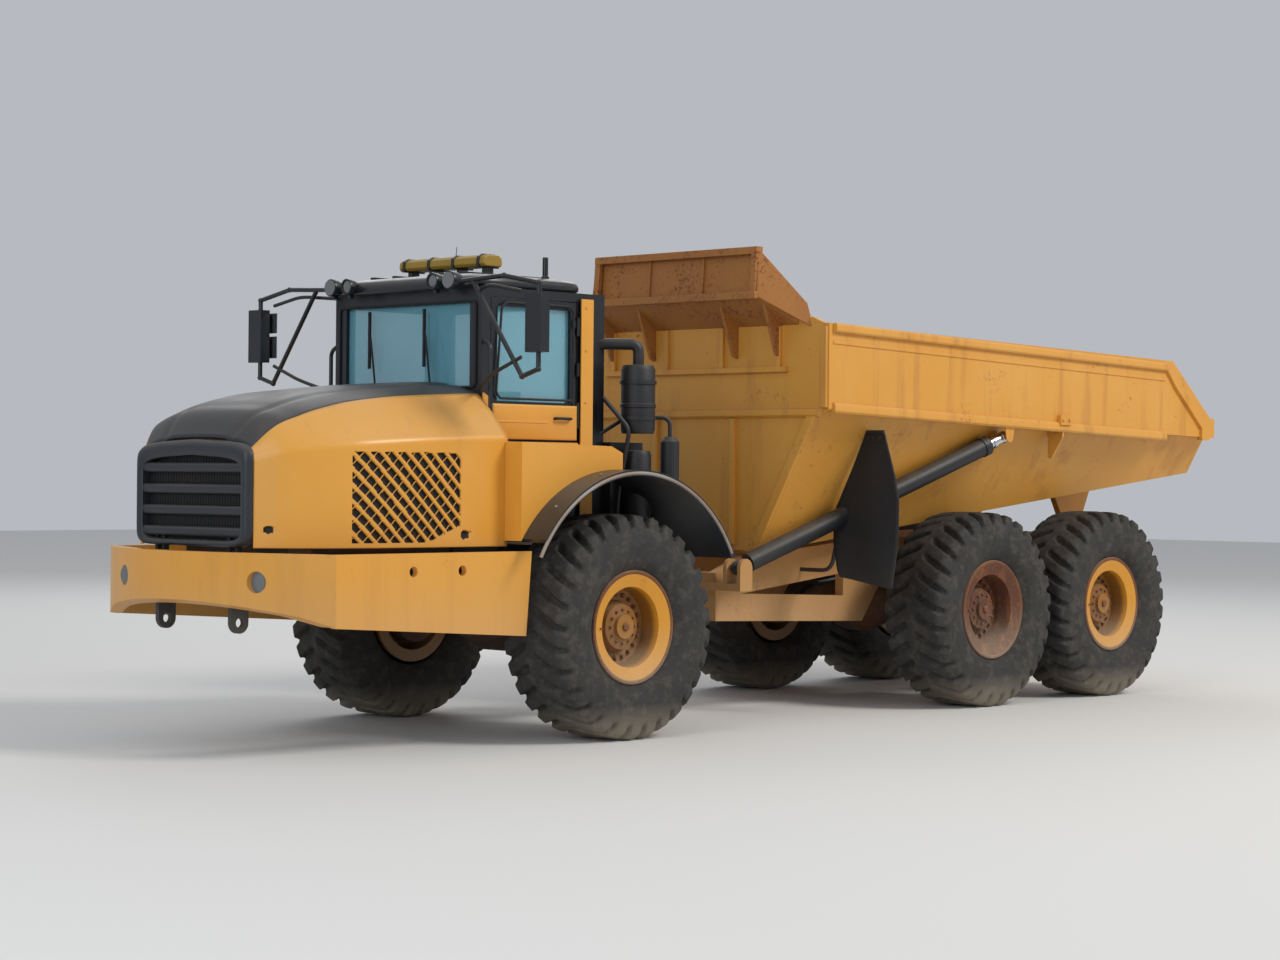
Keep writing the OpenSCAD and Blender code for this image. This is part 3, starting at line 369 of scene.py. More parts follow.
def tubeOf(path, radius, sides=12):
    # a circle carried square to the path, its start kept in the plane of one fixed direction
    path = np.array(path, float)
    ahead = np.gradient(path, axis=0)
    ahead /= np.linalg.norm(ahead, axis=1)[:, None]
    fixed = np.eye(3)[np.abs(ahead).max(0).argmin()]
    across = np.cross(ahead, fixed)
    across /= np.linalg.norm(across, axis=1)[:, None]
    upright = np.cross(across, ahead)
    turn = fullTurn(sides)[None, :, None]
    radii = np.broadcast_to(radius, len(path))[:, None, None]
    ring = np.cos(turn) * across[:, None] + np.sin(turn) * upright[:, None]
    return skin(path[:, None] + radii * ring)


def hoop(corners, radius, thick, sides=12, steps=7):
    return tubeOf(bentPath(corners, radius, steps), thick, sides)


def turnedOf(profile, centre, way, count=40):
    # a profile of distance along and distance from an axis, turned about it
    profile = np.array(profile, float)
    way = np.array(way, float) / np.linalg.norm(way)
    across = np.cross(way, np.eye(3)[np.abs(way).argmin()])
    across /= np.linalg.norm(across)
    upright = np.cross(way, across)
    turn = fullTurn(count)[None, :, None]
    ring = np.cos(turn) * across + np.sin(turn) * upright
    points = np.array(centre) + profile[:, 0, None, None] * way + profile[:, 1, None, None] * ring
    return skin(points)


def boltsAt(centres, way, radius, height):
    # hexagon heads with a chamfered top, one on each centre
    return [turnedOf([(0, radius), (height * 0.75, radius), (height, radius * 0.8)], c, way, 6) for c in centres]


def bothSides(parts):
    return parts + [(points * (1, -1, 1), faces) for points, faces in parts]


def smoothAt(places, values, at):
    # a curve through all values, whose slope at each is the mean of its neighbours' slopes
    places, values = np.array(places, float), np.array(values, float)
    slope = np.gradient(values, places)
    k = np.clip(np.searchsorted(places, at) - 1, 0, len(places) - 2)
    span = places[k + 1] - places[k]
    t = np.clip((at - places[k]) / span, 0, 1)
    return ((2 * t ** 3 - 3 * t ** 2 + 1) * values[k] + (t ** 3 - 2 * t ** 2 + t) * span * slope[k]
            + (3 * t ** 2 - 2 * t ** 3) * values[k + 1] + (t ** 3 - t ** 2) * span * slope[k + 1])


def addObject(name, data):
    made = bpy.data.objects.new(name, data)
    scene.collection.objects.link(made)
    return made


def addPiece(name, parts, material, body, stands=(), thick=0.0, bevel=0.0, recess=None, angle=35):
    points, faces = joined(parts)
    mesh = bpy.data.meshes.new(name)
    mesh.from_pydata(points.tolist(), [], faces)
    if recess is not None:
        mesh.attributes.new("recess", "FLOAT", "POINT").data.foreach_set("value", recess.astype(np.float32).ravel())
    shape = bmesh.new()
    shape.from_mesh(mesh)
    bmesh.ops.remove_doubles(shape, verts=shape.verts, dist=1e-5)
    bmesh.ops.recalc_face_normals(shape, faces=shape.faces)
    shape.to_mesh(mesh)
    shape.free()
    mesh.polygons.foreach_set("use_smooth", [True] * len(mesh.polygons))
    mesh.set_sharp_from_angle(angle=math.radians(angle))
    mesh.materials.append(material)
    piece = addObject(name, mesh)
    if thick:
        wall = piece.modifiers.new("wall", "SOLIDIFY")
        wall.thickness, wall.offset = thick, -1
    if bevel:
        edge = piece.modifiers.new("edge", "BEVEL")
        edge.width, edge.segments, edge.limit_method = bevel, 2, "ANGLE"
    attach(piece, body)
    if stands:
        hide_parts(*stands)
    return piece


# Tyres and wheels

tyre = {"lugs": 30, "stepsPerLug": 12, "groove": 0.042, "grooveShare": 0.42, "slant": 0.9, "centreRib": 0.035,
        "treadHalf": 0.288, "shoulder": 0.745, "wallFrom": 0.72, "wallTo": 0.83, "wallGroove": 0.016, "treadStart": 13}
# Half section: distance from the axle, distance from the middle plane
tyreSection = [
    (0.418, 0.222), (0.425, 0.243), (0.448, 0.262), (0.452, 0.268), (0.49, 0.296), (0.496, 0.303), (0.55, 0.32),
    (0.62, 0.329), (0.626, 0.333), (0.65, 0.333), (0.656, 0.329), (0.7, 0.327), (0.755, 0.316),
    (0.795, 0.302), (0.822, 0.288), (0.838, 0.262), (0.846, 0.2), (0.85, 0.1), (0.85, 0.0)]


def tyreParts(centre):
    # The section is walked from bead to bead. Grooves cut into the tread between lugs that lean away from
    # the middle rib, those of one half set half a pitch round from the other's, and they fade down the shoulder.
    t, half = tyre, np.array(tyreSection)
    length = np.r_[0, np.cumsum(np.linalg.norm(np.diff(half, axis=0), axis=1))]
    edge = length[t["treadStart"]]
    walk = np.r_[np.linspace(0, edge, 22)[:-1], np.linspace(edge, length[-1], 16)]
    r, y = np.interp(walk, length, half[:, 0]), np.interp(walk, length, half[:, 1])
    r, y = np.r_[r, r[-2::-1]], np.r_[y, -y[-2::-1]]
    steps = t["lugs"] * t["stepsPerLug"]
    turn = np.arange(steps)[:, None] / steps
    phase = (turn * t["lugs"] + t["slant"] * np.abs(y) / t["treadHalf"] + 0.5 * (y > 0)) % 1
    wave = np.clip((t["grooveShare"] / 2 - np.abs(phase - 0.5)) * 9, 0, 1)
    reach = np.clip((r - t["shoulder"]) / 0.05, 0, 1) * np.clip((np.abs(y) - t["centreRib"]) / 0.02, 0, 1)
    radius = r - wave * reach * t["groove"]
    wall = np.clip((r - t["wallFrom"]) / 0.04, 0, 1) * (r < t["wallTo"]) * t["wallGroove"]
    out = y - np.sign(y) * wave * wall
    angle = turn * 2 * np.pi
    points = gridOf(radius * np.cos(angle), out, radius * np.sin(angle))
    return [sheetOf(centre + points, closeRows=True)]


# Nuts, cover bolts and plug: distance out, radius of the ring, count, radius and height of a head
boltRings = [(0.054, 0.243, 20, 0.017, 0.034), (0.141, 0.128, 12, 0.011, 0.016), (0.175, 0.0, 1, 0.032, 0.018)]
# Clamp ring inside the flange: distance out from the middle plane, distance from the axle
clampRing = [(0.232, 0.394), (0.262, 0.4), (0.268, 0.408), (0.268, 0.424), (0.258, 0.432), (0.236, 0.43)]
valvePath = [(0.3, 0.1), (0.33, 0.2), (0.33, 0.26)]  # ahead of the axle, out from the middle plane


def wheelParts(centre, side):
    # nuts round the disc, bolts and a plug on the planet cover, a clamp ring inside the flange, a valve
    parts = []
    for out, ring, count, radius, height in boltRings:
        turn = fullTurn(count)
        places = centre + gridOf(ring * np.cos(turn), side * out, ring * np.sin(turn))
        parts += boltsAt(places, (0, side, 0), radius, height)
    out, radius = np.array(clampRing).T
    turn = fullTurn(96)[:, None]
    band = gridOf(radius * np.cos(turn), side * out, radius * np.sin(turn))
    parts.append(sheetOf(centre + band, closeRows=True, closeColumns=True))
    parts.append(tubeOf([centre + (ahead, side * away, 0) for ahead, away in valvePath], 0.008, 8))
    return parts


for end in ("front", "mid", "rear"):
    for name, side in (("left", 1), ("right", -1)):
        centre = middleOf(f"tyre_{end}_{name}")
        body = f"wheel_{end}_{name}"
        addPiece(f"treaded_tyre_{end}_{name}", tyreParts(centre), tyreBlack, body,
                 [f"tyre_{end}_{name}"], angle=28)
        addPiece(f"wheel_hardware_{end}_{name}", wheelParts(centre, side), hubRust, body)
print("wheels dressed")


# Hood: yellow sides, black top and the nose with its grille. x counts from the front axle.

hood = {"rear": 0.962, "front": 2.918, "bottom": 1.462, "round": 0.035, "wall": 0.02, "creaseRise": 0.012}
# Sections: ahead of the axle, half width, crease height, edge of the top panel (half width, height), middle height
hoodSections = np.array([
    (0.96, 1.15, 2.27, 0.82, 2.59, 2.69), (1.5, 1.142, 2.25, 0.818, 2.565, 2.655),
    (1.9, 1.12, 2.23, 0.815, 2.535, 2.615), (2.35, 1.04, 2.195, 0.8, 2.465, 2.555),
    (2.6, 0.93, 2.165, 0.765, 2.39, 2.48), (2.8, 0.8, 2.135, 0.7, 2.29, 2.385),
    (2.92, 0.665, 2.09, 0.62, 2.15, 2.235)])
# The vent field, its lower rear corner cut off. Sunk squares, painted near black as shade, stand in rows that rise
# towards the front.
vents = {"rear": 1.42, "front": 2.34, "low": 1.5, "high": 2.14, "depth": 0.022, "pitch": 0.074, "share": 0.92,
         "rowPitch": 0.08, "rowShare": 0.62, "cutSlope": 0.42, "cutReach": 0.12, "margin": (1.39, 2.36)}
hoodHoles = ((1.375, 1.55, 0.036), (2.845, 1.59, 0.026))  # x, z, radius


def hoodAt(x, column):
    return smoothAt(hoodSections[:, 0], hoodSections[:, column], x)[:, None]


def recessAt(x, z):
    # 1 where the side sinks in: a cell of the slanting vent rows or a round hole
    v = vents
    along, across = (x + z) / math.sqrt(2), (x - z) / math.sqrt(2)
    cell = (along / v["pitch"] % 1 < v["share"]) & (across / v["rowPitch"] % 1 < v["rowShare"])
    inside = (x > v["rear"]) & (x < v["front"]) & (z > v["low"]) & (z < v["high"])
    inside &= (x - v["rear"]) * v["cutSlope"] + (z - v["low"]) > v["cutReach"]
    recess = (cell & inside).astype(float)
    for holeX, holeZ, radius in hoodHoles:
        recess = np.maximum(recess, np.hypot(x - holeX, z - holeZ) < radius)
    return recess


def hoodSide(side):
    # Up the flat side, round the crease on a curve through three points, and on to the top panel's edge.
    # The sunk share is kept as an attribute, which the paint reads to paint shade into the vents and holes.
    rear, front = vents["margin"]
    x = np.r_[np.linspace(hood["rear"], rear, 12)[:-1], np.linspace(rear, front, 122)[:-1],
              np.linspace(front, hood["front"], 62)]
    width, crease, edgeY, edgeZ = (hoodAt(x, k) for k in (1, 2, 3, 4))
    rise = np.linspace(0, 1, 92)[None, :]
    flatZ = hood["bottom"] + (crease - hood["round"] - hood["bottom"]) * rise
    bend = hood["round"] / np.hypot(edgeY - width, edgeZ - crease)
    afterY, afterZ = width + (edgeY - width) * bend, crease + (edgeZ - crease) * bend
    t = np.linspace(0, 1, 9)[None, 1:]
    roundY = (1 - t ** 2) * width + t ** 2 * afterY
    roundZ = (1 - t) ** 2 * (crease - hood["round"]) + 2 * t * (1 - t) * crease + t ** 2 * afterZ
    s = np.linspace(0, 1, 14)[None, 1:]
    topY = afterY + (edgeY - afterY) * s
    topZ = afterZ + (edgeZ - afterZ) * s + hood["creaseRise"] * np.sin(np.pi * s)
    y, z = np.hstack([width + 0 * rise, roundY, topY]), np.hstack([flatZ, roundZ, topZ])
    recess = recessAt(x[:, None], z)
    points = gridOf(frontAxle + x[:, None], y - recess * vents["depth"], z)
    return points * (1, side, 1), recess


sides = [hoodSide(side) for side in (1, -1)]
addPiece("hood_side_panels", [sheetOf(points) for points, _ in sides], hoodYellow, "hood", ["hood_shell"],
         thick=hood["wall"], recess=np.concatenate([recess.ravel() for _, recess in sides]))


def hoodTopParts():
    # across the hood the height falls from the middle to the edge as a soft power, with a groove on each side
    x = np.linspace(hood["rear"], hood["front"], 90)
    s = np.linspace(-1, 1, 61)[None, :]
    edgeY, edgeZ, middle = (hoodAt(x, k) for k in (3, 4, 5))
    groove = 0.014 * np.exp(-((np.abs(s) - 0.62) / 0.05) ** 2)
    z = middle - (middle - edgeZ) * np.abs(s) ** 3.2 - groove
    return [sheetOf(gridOf(frontAxle + x[:, None], (edgeY - 0.001) * s, z))]


addPiece("hood_top_panel", hoodTopParts(), hoodBlack, "hood", ["hood_top"], thick=hood["wall"])

nose = {"halfWidth": 0.665, "low": 1.462, "high": 2.225, "back": 2.905, "front": 2.978,
        "openHalf": 0.58, "openLow": 1.505, "openHigh": 2.11, "power": 11, "crown": 0.045,
        "slats": 4, "slatX": 2.938, "slatHeight": 0.07, "slatDepth": 0.05, "pinY": 0.43, "lug": 0.027}
# Rings forward over the rim: inset at the sides, at the foot and at the head, x
outerRings = [(0.0, 0.0, 0.0, nose["back"]), (0.004, 0.0, 0.006, 2.945), (0.016, 0.008, 0.022, 2.968),
              (0.034, 0.016, 0.046, nose["front"])]
# Rings back into the opening: how far they stand outside it, x
innerRings = [(0.016, 0.012, 0.016, nose["front"] - 0.002), (0.0, 0.0, 0.0, 2.964),
              (-0.006, -0.006, -0.006, nose["back"])]


def noseRing(halfWidth, low, high, x):
    # a rounded rectangle as a power curve, with its top crowned like the hood
    turn = fullTurn(120)
    y, z = (signedPower(wave, 2 / nose["power"]) for wave in (np.cos(turn), np.sin(turn)))
    height = (low + high) / 2 + z * (high - low) / 2 - np.clip(z, 0, 1) * nose["crown"] * np.abs(y) ** 2
    return gridOf(frontAxle + x, halfWidth * y, height)


def noseParts():
    half, low, high = nose["openHalf"], nose["openLow"], nose["openHigh"]
    rings = [noseRing(nose["halfWidth"] - a, nose["low"] + b, nose["high"] - c, x) for a, b, c, x in outerRings]
    rings += [noseRing(half + a, low - b, high + c, x) for a, b, c, x in innerRings]
    parts = [sheetOf(np.array(rings), closeRows=True, closeColumns=True)]
    turn = fullTurn(20)
    for k in range(nose["slats"]):
        # each slat is a flattened oval, tipped so that its front edge hangs lower
        z = low + (high - low) / nose["slats"] * (k + 0.4)
        px = np.cos(turn) * nose["slatDepth"] / 2
        pz = signedPower(np.sin(turn), 0.7) * nose["slatHeight"] / 2
        x, y = frontAxle + nose["slatX"] + px + 0.2 * pz, np.array([-half, half])[:, None]
        parts.append(skin(gridOf(x, y, z + pz - 0.25 * px)))
    return parts


addPiece("nose_surround", noseParts(), hoodBlack, "hood", ["grille"], angle=40)


def screenParts():
    # upright and level wires before a dark plate behind the slats, and lugs down to the hinge pins
    back, half, low, high = frontAxle + nose["back"], nose["openHalf"], nose["openLow"], nose["openHigh"]
    parts = [boxOf((back - 0.012, -half, low), (back - 0.004, half, high))]
    parts += [boxOf((back - 0.004, y - 0.002, low), (back, y + 0.002, high)) for y in np.linspace(-half, half, 37)]
    for z in np.linspace(low, high, 20):
        parts.append(boxOf((back - 0.005, -half, z - 0.002), (back + 0.001, half, z + 0.002)))
    for y in (nose["pinY"], -nose["pinY"]):
        parts.append(boxOf((back - 0.028, y - nose["lug"], 1.53), (back - 0.006, y + nose["lug"], 1.59)))
    return parts


addPiece("radiator_screen", screenParts(), screenBlack, "hood")
print("hood dressed")


# Bed: rails, lips, posts, the headboard wall and the spill guard

bed = {"frontX": 0.22, "tailX": -4.46, "wallY": 1.5, "flankY": 1.38, "rail": (3.25, 3.11), "ledge": (2.55, 2.41),
       "sweep": (0.17, -4.72), "gussetX": -3.05, "post": (1.47, 1.53)}
# Sections swept along the bed: offset outward, offset upward
railLip = [(0.01, 0.004), (0.034, 0.002), (0.044, -0.014), (0.044, -0.058), (0.034, -0.072), (0.006, -0.074),
           (0.0, -0.03)]
pressedLine = [(0.0, 0.018), (0.014, 0.01), (0.014, -0.01), (0.0, -0.018)]
ledgeLip = [(-0.005, 0.012), (0.024, 0.006), (0.034, -0.012), (0.034, -0.06), (0.02, -0.078), (-0.05, -0.076)]
# The post up the slanting tail: x, z
tailPost = [(-4.8, 3.055), (-4.93, 2.925), (-5.46, 2.5), (-5.46, 2.385), (-5.33, 2.385), (-5.33, 2.5),
            (-4.86, 2.89), (-4.72, 3.04)]


def alongBed(ends, x):  # a height that falls evenly from the front to the tipping pivot
    return ends[0] + (ends[1] - ends[0]) * (bed["frontX"] - x) / (bed["frontX"] - bed["tailX"])


def bedDetailParts():
    # a rolled lip on the rail, a pressed line under it and a thick lip on the ledge; then one gusset
    # behind the hoist's eye, a post up the tail, and a bracket two thirds back
    x = np.linspace(*bed["sweep"], 60)[:, None]
    rail, ledge = alongBed(bed["rail"], x), alongBed(bed["ledge"], x)
    parts = []
    for line, section in ((rail, railLip), (rail - 0.155, pressedLine), (ledge + 0.045, ledgeLip)):
        out, up = np.array(section).T[:, None, :]
        points = gridOf(x, bed["wallY"] - 0.004 + out, line + up)
        parts.append(skin(points))
    at = bed["gussetX"]
    level = alongBed(bed["ledge"], at)
    wall, flank, top, foot = bed["wallY"] + 0.012, bed["flankY"], level - 0.03, level - 0.27
    gusset = [(wall, top), (wall, top - 0.05), (flank + 0.01, foot), (flank - 0.03, foot), (flank - 0.03, top)]
    parts.append(slab(gusset, 0, at - 0.012, at + 0.012))
    parts.append(slab(tailPost, 1, *bed["post"]))
    parts.append(boxOf((at - 0.08, 1.49, level + 0.03), (at + 0.08, 1.545, level + 0.12)))
    parts += boltsAt([(at + shift, 1.545, level + 0.075) for shift in (-0.05, 0.05)], (0, 1, 0), 0.016, 0.014)
    return bothSides(parts)


addPiece("bed_rails_and_lips", bedDetailParts(), bedYellow, "bed", bevel=0.004)

wallFace = 0.2
wallOutline = [(-0.735, 1.372), (0.735, 1.372), (1.365, 2.5), (1.492, 2.54), (1.492, 3.23), (1.3, 3.31),
               (-1.3, 3.31), (-1.492, 3.23), (-1.492, 2.54), (-1.365, 2.5)]
# Stiffeners on one half of the wall: outline of y and z, front face x
wallStrips = [([(0.66, 1.4), (0.74, 1.385), (1.36, 2.495), (1.27, 2.495)], 0.236),
              ([(1.43, 2.56), (1.488, 2.56), (1.488, 3.22), (1.43, 3.22)], 0.246)]
# Upright ribs: y, half width, foot, head, front face x
wallRibs = [(0.32, 0.022, 2.9, 3.24, 0.24), (0.96, 0.022, 2.9, 3.24, 0.24), (0.45, 0.025, 1.42, 2.48, 0.238)]


def headboardParts():
    # the wall between the sides, a folded lip where it turns in, stiffeners along its slanting edges, ribs
    half = [slab(outline, 0, wallFace, face) for outline, face in wallStrips]
    half += [boxOf((wallFace, y - w, foot), (face, y + w, head)) for y, w, foot, head, face in wallRibs]
    lip = skin([[(wallFace, -y, rear), (wallFace, y, rear), (0.252, y, front), (0.252, -y, front)]
                for y, rear, front in ((1.4, 2.475, 2.5), (1.44, 2.56, 2.545))])
    cross = boxOf((wallFace, -1.05, 2.86), (0.246, 1.05, 2.905))
    return [slab(wallOutline, 0, 0.155, 0.205), lip, cross] + bothSides(half)


addPiece("headboard_wall", headboardParts(), bedYellow, "bed", ["bed_headboard"], bevel=0.005)

guard = {"rootHalf": 1.17, "rootX": 0.192, "rootZ": 3.235, "lipX": 0.5, "lipZ": 3.47, "topX": 0.47, "topZ": 3.885,
         "half": 0.94, "plate": 0.045, "wing": 0.02}
gussetOutline = [(0.2, 2.98), (0.27, 3.00), (0.44, 3.44), (0.2, 3.255)]


def leaning(y0, y1, z0, z1, ahead, back):
    # a bar in the guard's leaning front plane, from so far ahead of it to so far behind
    lean = (guard["topX"] - guard["lipX"]) / (guard["topZ"] - guard["lipZ"])
    rings = []
    for z in (z0, z1):
        x = guard["lipX"] + lean * (z - guard["lipZ"])
        rings.append([(x - back, y0, z), (x - back, y1, z), (x + ahead, y1, z), (x + ahead, y0, z)])
    return skin(rings)


def spillGuardParts():
    # the sloping floor of the tray, a panel set back in its frame, the lip along its foot, wings and gussets
    g = guard
    lip = g["half"] + 0.02
    tray = []
    for rise, back in ((0, 0), (g["plate"], 0.02)):
        ends = np.array([(g["rootX"], g["rootHalf"], g["rootZ"] + rise), (g["lipX"] - back, lip, g["lipZ"] + rise)])
        tray.append([ends[0] * (1, -1, 1), ends[0], ends[1], ends[1] * (1, -1, 1)])
    parts = [skin(tray)]
    top, low, half = g["topZ"], g["lipZ"], g["half"]
    parts.append(leaning(-half, half, low, top, -0.04, 0.06))
    parts.append(leaning(-half, half, top - 0.062, top, 0.022, 0.05))
    parts.append(leaning(-lip, lip, low - 0.018, low + 0.042, 0.036, 0.03))
    # frame posts at the ends and two inner ribs: y, half width, ahead, back
    for y, w, ahead, back in ((half - 0.03, 0.03, 0.018, 0.03), (0.31, 0.013, -0.018, 0.045)):
        parts += [leaning(at - w, at + w, low + 0.03, top - 0.05, ahead, back) for at in (-y, y)]
    # a plate from each end back down to the rail, set in by its thickness
    wing = np.array([(0.19, 1.3, g["rootZ"]), (0.222, 1.3, g["rootZ"]), (g["lipX"], lip, low),
                     (g["topX"], half, top - 0.01), (0.19, 1.24, 3.42)])
    gussets = [slab(gussetOutline, 1, y - 0.014, y + 0.014) for y in (0.48, 0.96)]
    return parts + bothSides([skin([wing, wing - (0, g["wing"], 0)])] + gussets)


addPiece("spill_guard", spillGuardParts(), guardYellow, "bed", ["bed_headboard"], bevel=0.005)


# Mud flaps and their hangers

flap = {"x": -0.52, "foot": 1.065, "head": 2.39, "thick": 0.014, "wave": 0.011, "notch": 0.085}
# The two edges of the near flap, from the head down: y, z
flapOuter = [(1.485, 2.39), (1.6, 2.02), (1.645, 1.81), (1.64, 1.45), (1.585, 1.065)]
flapInner = [(1.305, 2.39), (1.225, 2.22), (1.14, 2.05), (1.035, 1.85), (0.968, 1.72), (0.95, 1.63), (0.955, 1.4),
             (1.0, 1.14), (1.03, 1.065)]


def edgeAt(edge, z):
    y, height = np.array(edge[::-1]).T
    return np.interp(z, height, y)


def flapParts():
    # a rubber sheet that hangs with a slow wave, its inner corner cut away at the foot
    z = np.linspace(flap["foot"], flap["head"], 40)[:, None]
    outer, inner = edgeAt(flapOuter, z), edgeAt(flapInner, z)
    s = np.linspace(0, 1, 22)[None, :]
    y = inner + (outer - inner) * s
    level = z + (1 - s) * flap["notch"] * np.clip(1 - (z - flap["foot"]) / 0.5, 0, 1)
    x = flap["x"] + flap["wave"] * np.sin(7.0 * s + 2.1 * z) * np.clip((2.4 - z) / 0.8, 0, 1)
    return bothSides([sheetOf(gridOf(x, y, level))])


addPiece("hanging_mud_flaps", flapParts(), rubberBlack, "rear", ["mud_flaps"], thick=flap["thick"])


def flapHangerParts():
    # a clamp bar with bolts at the flap's head, and a bent bar up to it from the frame
    stay = [(-0.545, y, z) for y, z in ((0.5, 1.2), (0.9, 1.2), (1.02, 1.7), (1.3, 2.1), (1.33, 2.32))]
    parts = [boxOf((-0.545, 1.3, 2.3), (-0.5, 1.485, 2.345)), hoop(stay, 0.1, 0.018)]
    return bothSides(parts + boltsAt([(-0.5, y, 2.322) for y in (1.335, 1.395, 1.455)], (1, 0, 0), 0.013, 0.012))


addPiece("flap_hangers", flapHangerParts(), frameBlack, "rear")
print("bed dressed")


# Cab: roof, beacon, lamps, mirrors and trim

roof = {"rear": 2.292, "front": 3.575, "half": 0.868, "power": 0.36, "droop": 0.03,
        "ribs": ((2.52, 3.495), (3.36, 3.52)), "hatch": ((2.62, -0.19, 3.5), (3.1, 0.19, 3.532))}
hatchHandle = [(2.7, -0.09, 3.53), (2.7, -0.09, 3.56), (2.7, 0.09, 3.56), (2.7, 0.09, 3.53)]
# Rings from the eaves to the crown: share of the plan, height
roofRings = [(0.955, 3.392), (0.985, 3.398), (1.0, 3.412), (1.0, 3.436), (0.985, 3.462), (0.94, 3.482), (0.84, 3.494),
             (0.65, 3.502), (0.4, 3.508), (0.15, 3.51)]


def roofParts():
    # A shallow dome on a rounded plan, a power curve. Its front edge droops over the windscreen.
    turn = fullTurn(96)
    ahead, across = (signedPower(wave, roof["power"]) for wave in (np.cos(turn), np.sin(turn)))
    middle, length = (roof["rear"] + roof["front"]) / 2, (roof["front"] - roof["rear"]) / 2
    rings = [gridOf(middle + share * length * ahead, share * roof["half"] * across,
                    z - roof["droop"] * np.clip((share * ahead - 0.72) / 0.28, 0, 1) ** 2)
             for share, z in roofRings]
    parts = [skin(rings)]
    # pressed ribs along the roof and a hatch with a handle
    (x0, z0), (x1, z1) = roof["ribs"]
    parts += [boxOf((x0, y - 0.022, z0), (x1, y + 0.022, z1)) for y in (-0.52, -0.26, 0.26, 0.52)]
    return parts + [boxOf(*roof["hatch"]), hoop(hatchHandle, 0.02, 0.008)]


addPiece("domed_roof", roofParts(), cabBlack, "front", ["cab_roof"], bevel=0.004, angle=50)

beacon = {"half": 0.495, "end": 0.485, "endShare": 0.9, "mounts": (-0.43, -0.14, 0.14, 0.43)}
# Masts: profile up the axis, height of its foot
masts = [([(0, 0.022), (0.16, 0.022), (0.165, 0.018)], 3.5), ([(0, 0.03), (0.02, 0.03), (0.03, 0.02)], 3.495)]
beaconSection = [(2.925, 3.578), (3.095, 3.578), (3.112, 3.6), (3.106, 3.645), (3.075, 3.668), (2.95, 3.668),
                 (2.918, 3.645), (2.912, 3.6)]
strapSection = [(2.905, 3.57), (3.119, 3.57), (3.119, 3.606), (3.113, 3.652), (3.078, 3.676), (2.947, 3.676),
                (2.911, 3.652), (2.905, 3.606)]


def beaconParts():
    flat = np.array(beaconSection)
    middle, share = flat.mean(0), beacon["endShare"]
    stations = [(-beacon["half"], share), (-beacon["end"], 1.0), (beacon["end"], 1.0), (beacon["half"], share)]
    rings = [np.insert(middle + (flat - middle) * size, 1, y, axis=1) for y, size in stations]
    return [skin(rings)]


addPiece("beacon_lens", beaconParts(), beaconAmber, "front", ["beacon_bar"], bevel=0.004)


def beaconMountParts():
    # straps and feet of the beacon, two short masts on flanges, and an aerial
    parts = []
    for y in beacon["mounts"]:
        parts.append(slab(strapSection, 1, y - 0.014, y + 0.014))
        parts.append(boxOf((2.97, y - 0.022, 3.495), (3.05, y + 0.022, 3.575)))
    parts += [turnedOf(profile, (2.62, y, foot), (0, 0, 1), 16) for y in (0.66, -0.66) for profile, foot in masts]
    return parts + [turnedOf([(0, 0.006), (0.34, 0.003)], (2.44, -0.6, 3.49), (-0.1, 0, 1), 8)]


addPiece("beacon_mounts", beaconMountParts(), cabBlack, "front", bevel=0.002)

roofLamp = {"x": 3.6, "z": 3.43, "depth": 0.075}
roofLampSizes = [(0.69, 0.064), (0.5, 0.058)]  # y, radius


def roofLampParts():
    # cups with a rim, each on a bracket under the visor, and the lenses in them
    x, z, depth = (roofLamp[key] for key in ("x", "z", "depth"))
    cups, lenses = [], []
    for y, radius in roofLampSizes:
        cup = [(-depth, radius * 0.55), (-depth * 0.8, radius * 0.8), (-0.02, radius), (0.03, radius + 0.006),
               (0.04, radius + 0.004), (0.04, radius - 0.006), (0.028, radius - 0.01)]
        lens = [(0.026, radius - 0.008), (0.033, radius * 0.75), (0.038, radius * 0.4), (0.04, 0.004)]
        cups.append(turnedOf(cup, (x, y, z), (1, 0, 0), 28))
        cups.append(boxOf((x - 0.03, y - 0.014, z - 0.088), (x + 0.01, y + 0.014, z - 0.055)))
        lenses.append(turnedOf(lens, (x, y, z), (1, 0, 0), 28))
    return bothSides(cups), bothSides(lenses)


cups, lenses = roofLampParts()
addPiece("roof_lamp_cups", cups, cabBlack, "front")
addPiece("roof_lamp_lenses", lenses, lampGlass, "front")

screen = {"x": 3.456, "seal": 0.011, "wipers": (-0.3, 0.34)}
# Rubber round the windscreen (y, z) and round the door's glass (x, z)
screenSeal = [(-0.77, 2.64), (0.77, 2.64), (0.79, 2.66), (0.79, 3.26), (0.77, 3.28), (-0.77, 3.28), (-0.79, 3.26),
              (-0.79, 2.66), (-0.77, 2.64)]
doorSeal = [(2.53, 2.56), (3.28, 2.56), (3.32, 2.6), (3.27, 3.24), (3.22, 3.28), (2.56, 3.28), (2.52, 3.24),
            (2.52, 2.6), (2.53, 2.56)]


def cabTrimParts():
    # the windscreen's rubber, and two wipers: hub, bent arm and blade
    x = screen["x"]
    parts = [hoop([(x, y, z) for y, z in screenSeal], 0.02, screen["seal"], 8, 4)]
    for y in screen["wipers"]:
        parts.append(hoop([(x, y, 2.6), (x + 0.045, y, 2.62), (x + 0.04, y - 0.07, 3.04)], 0.03, 0.008, 8))
        parts.append(boxOf((x + 0.012, y - 0.115, 2.8), (x + 0.03, y - 0.095, 3.24)))
        parts.append(turnedOf([(0, 0.026), (0.03, 0.022), (0.04, 0.012)], (x - 0.005, y, 2.6), (1, 0, 0), 16))
    return parts


addPiece("cab_seals_and_wipers", cabTrimParts(), rubberBlack, "front")

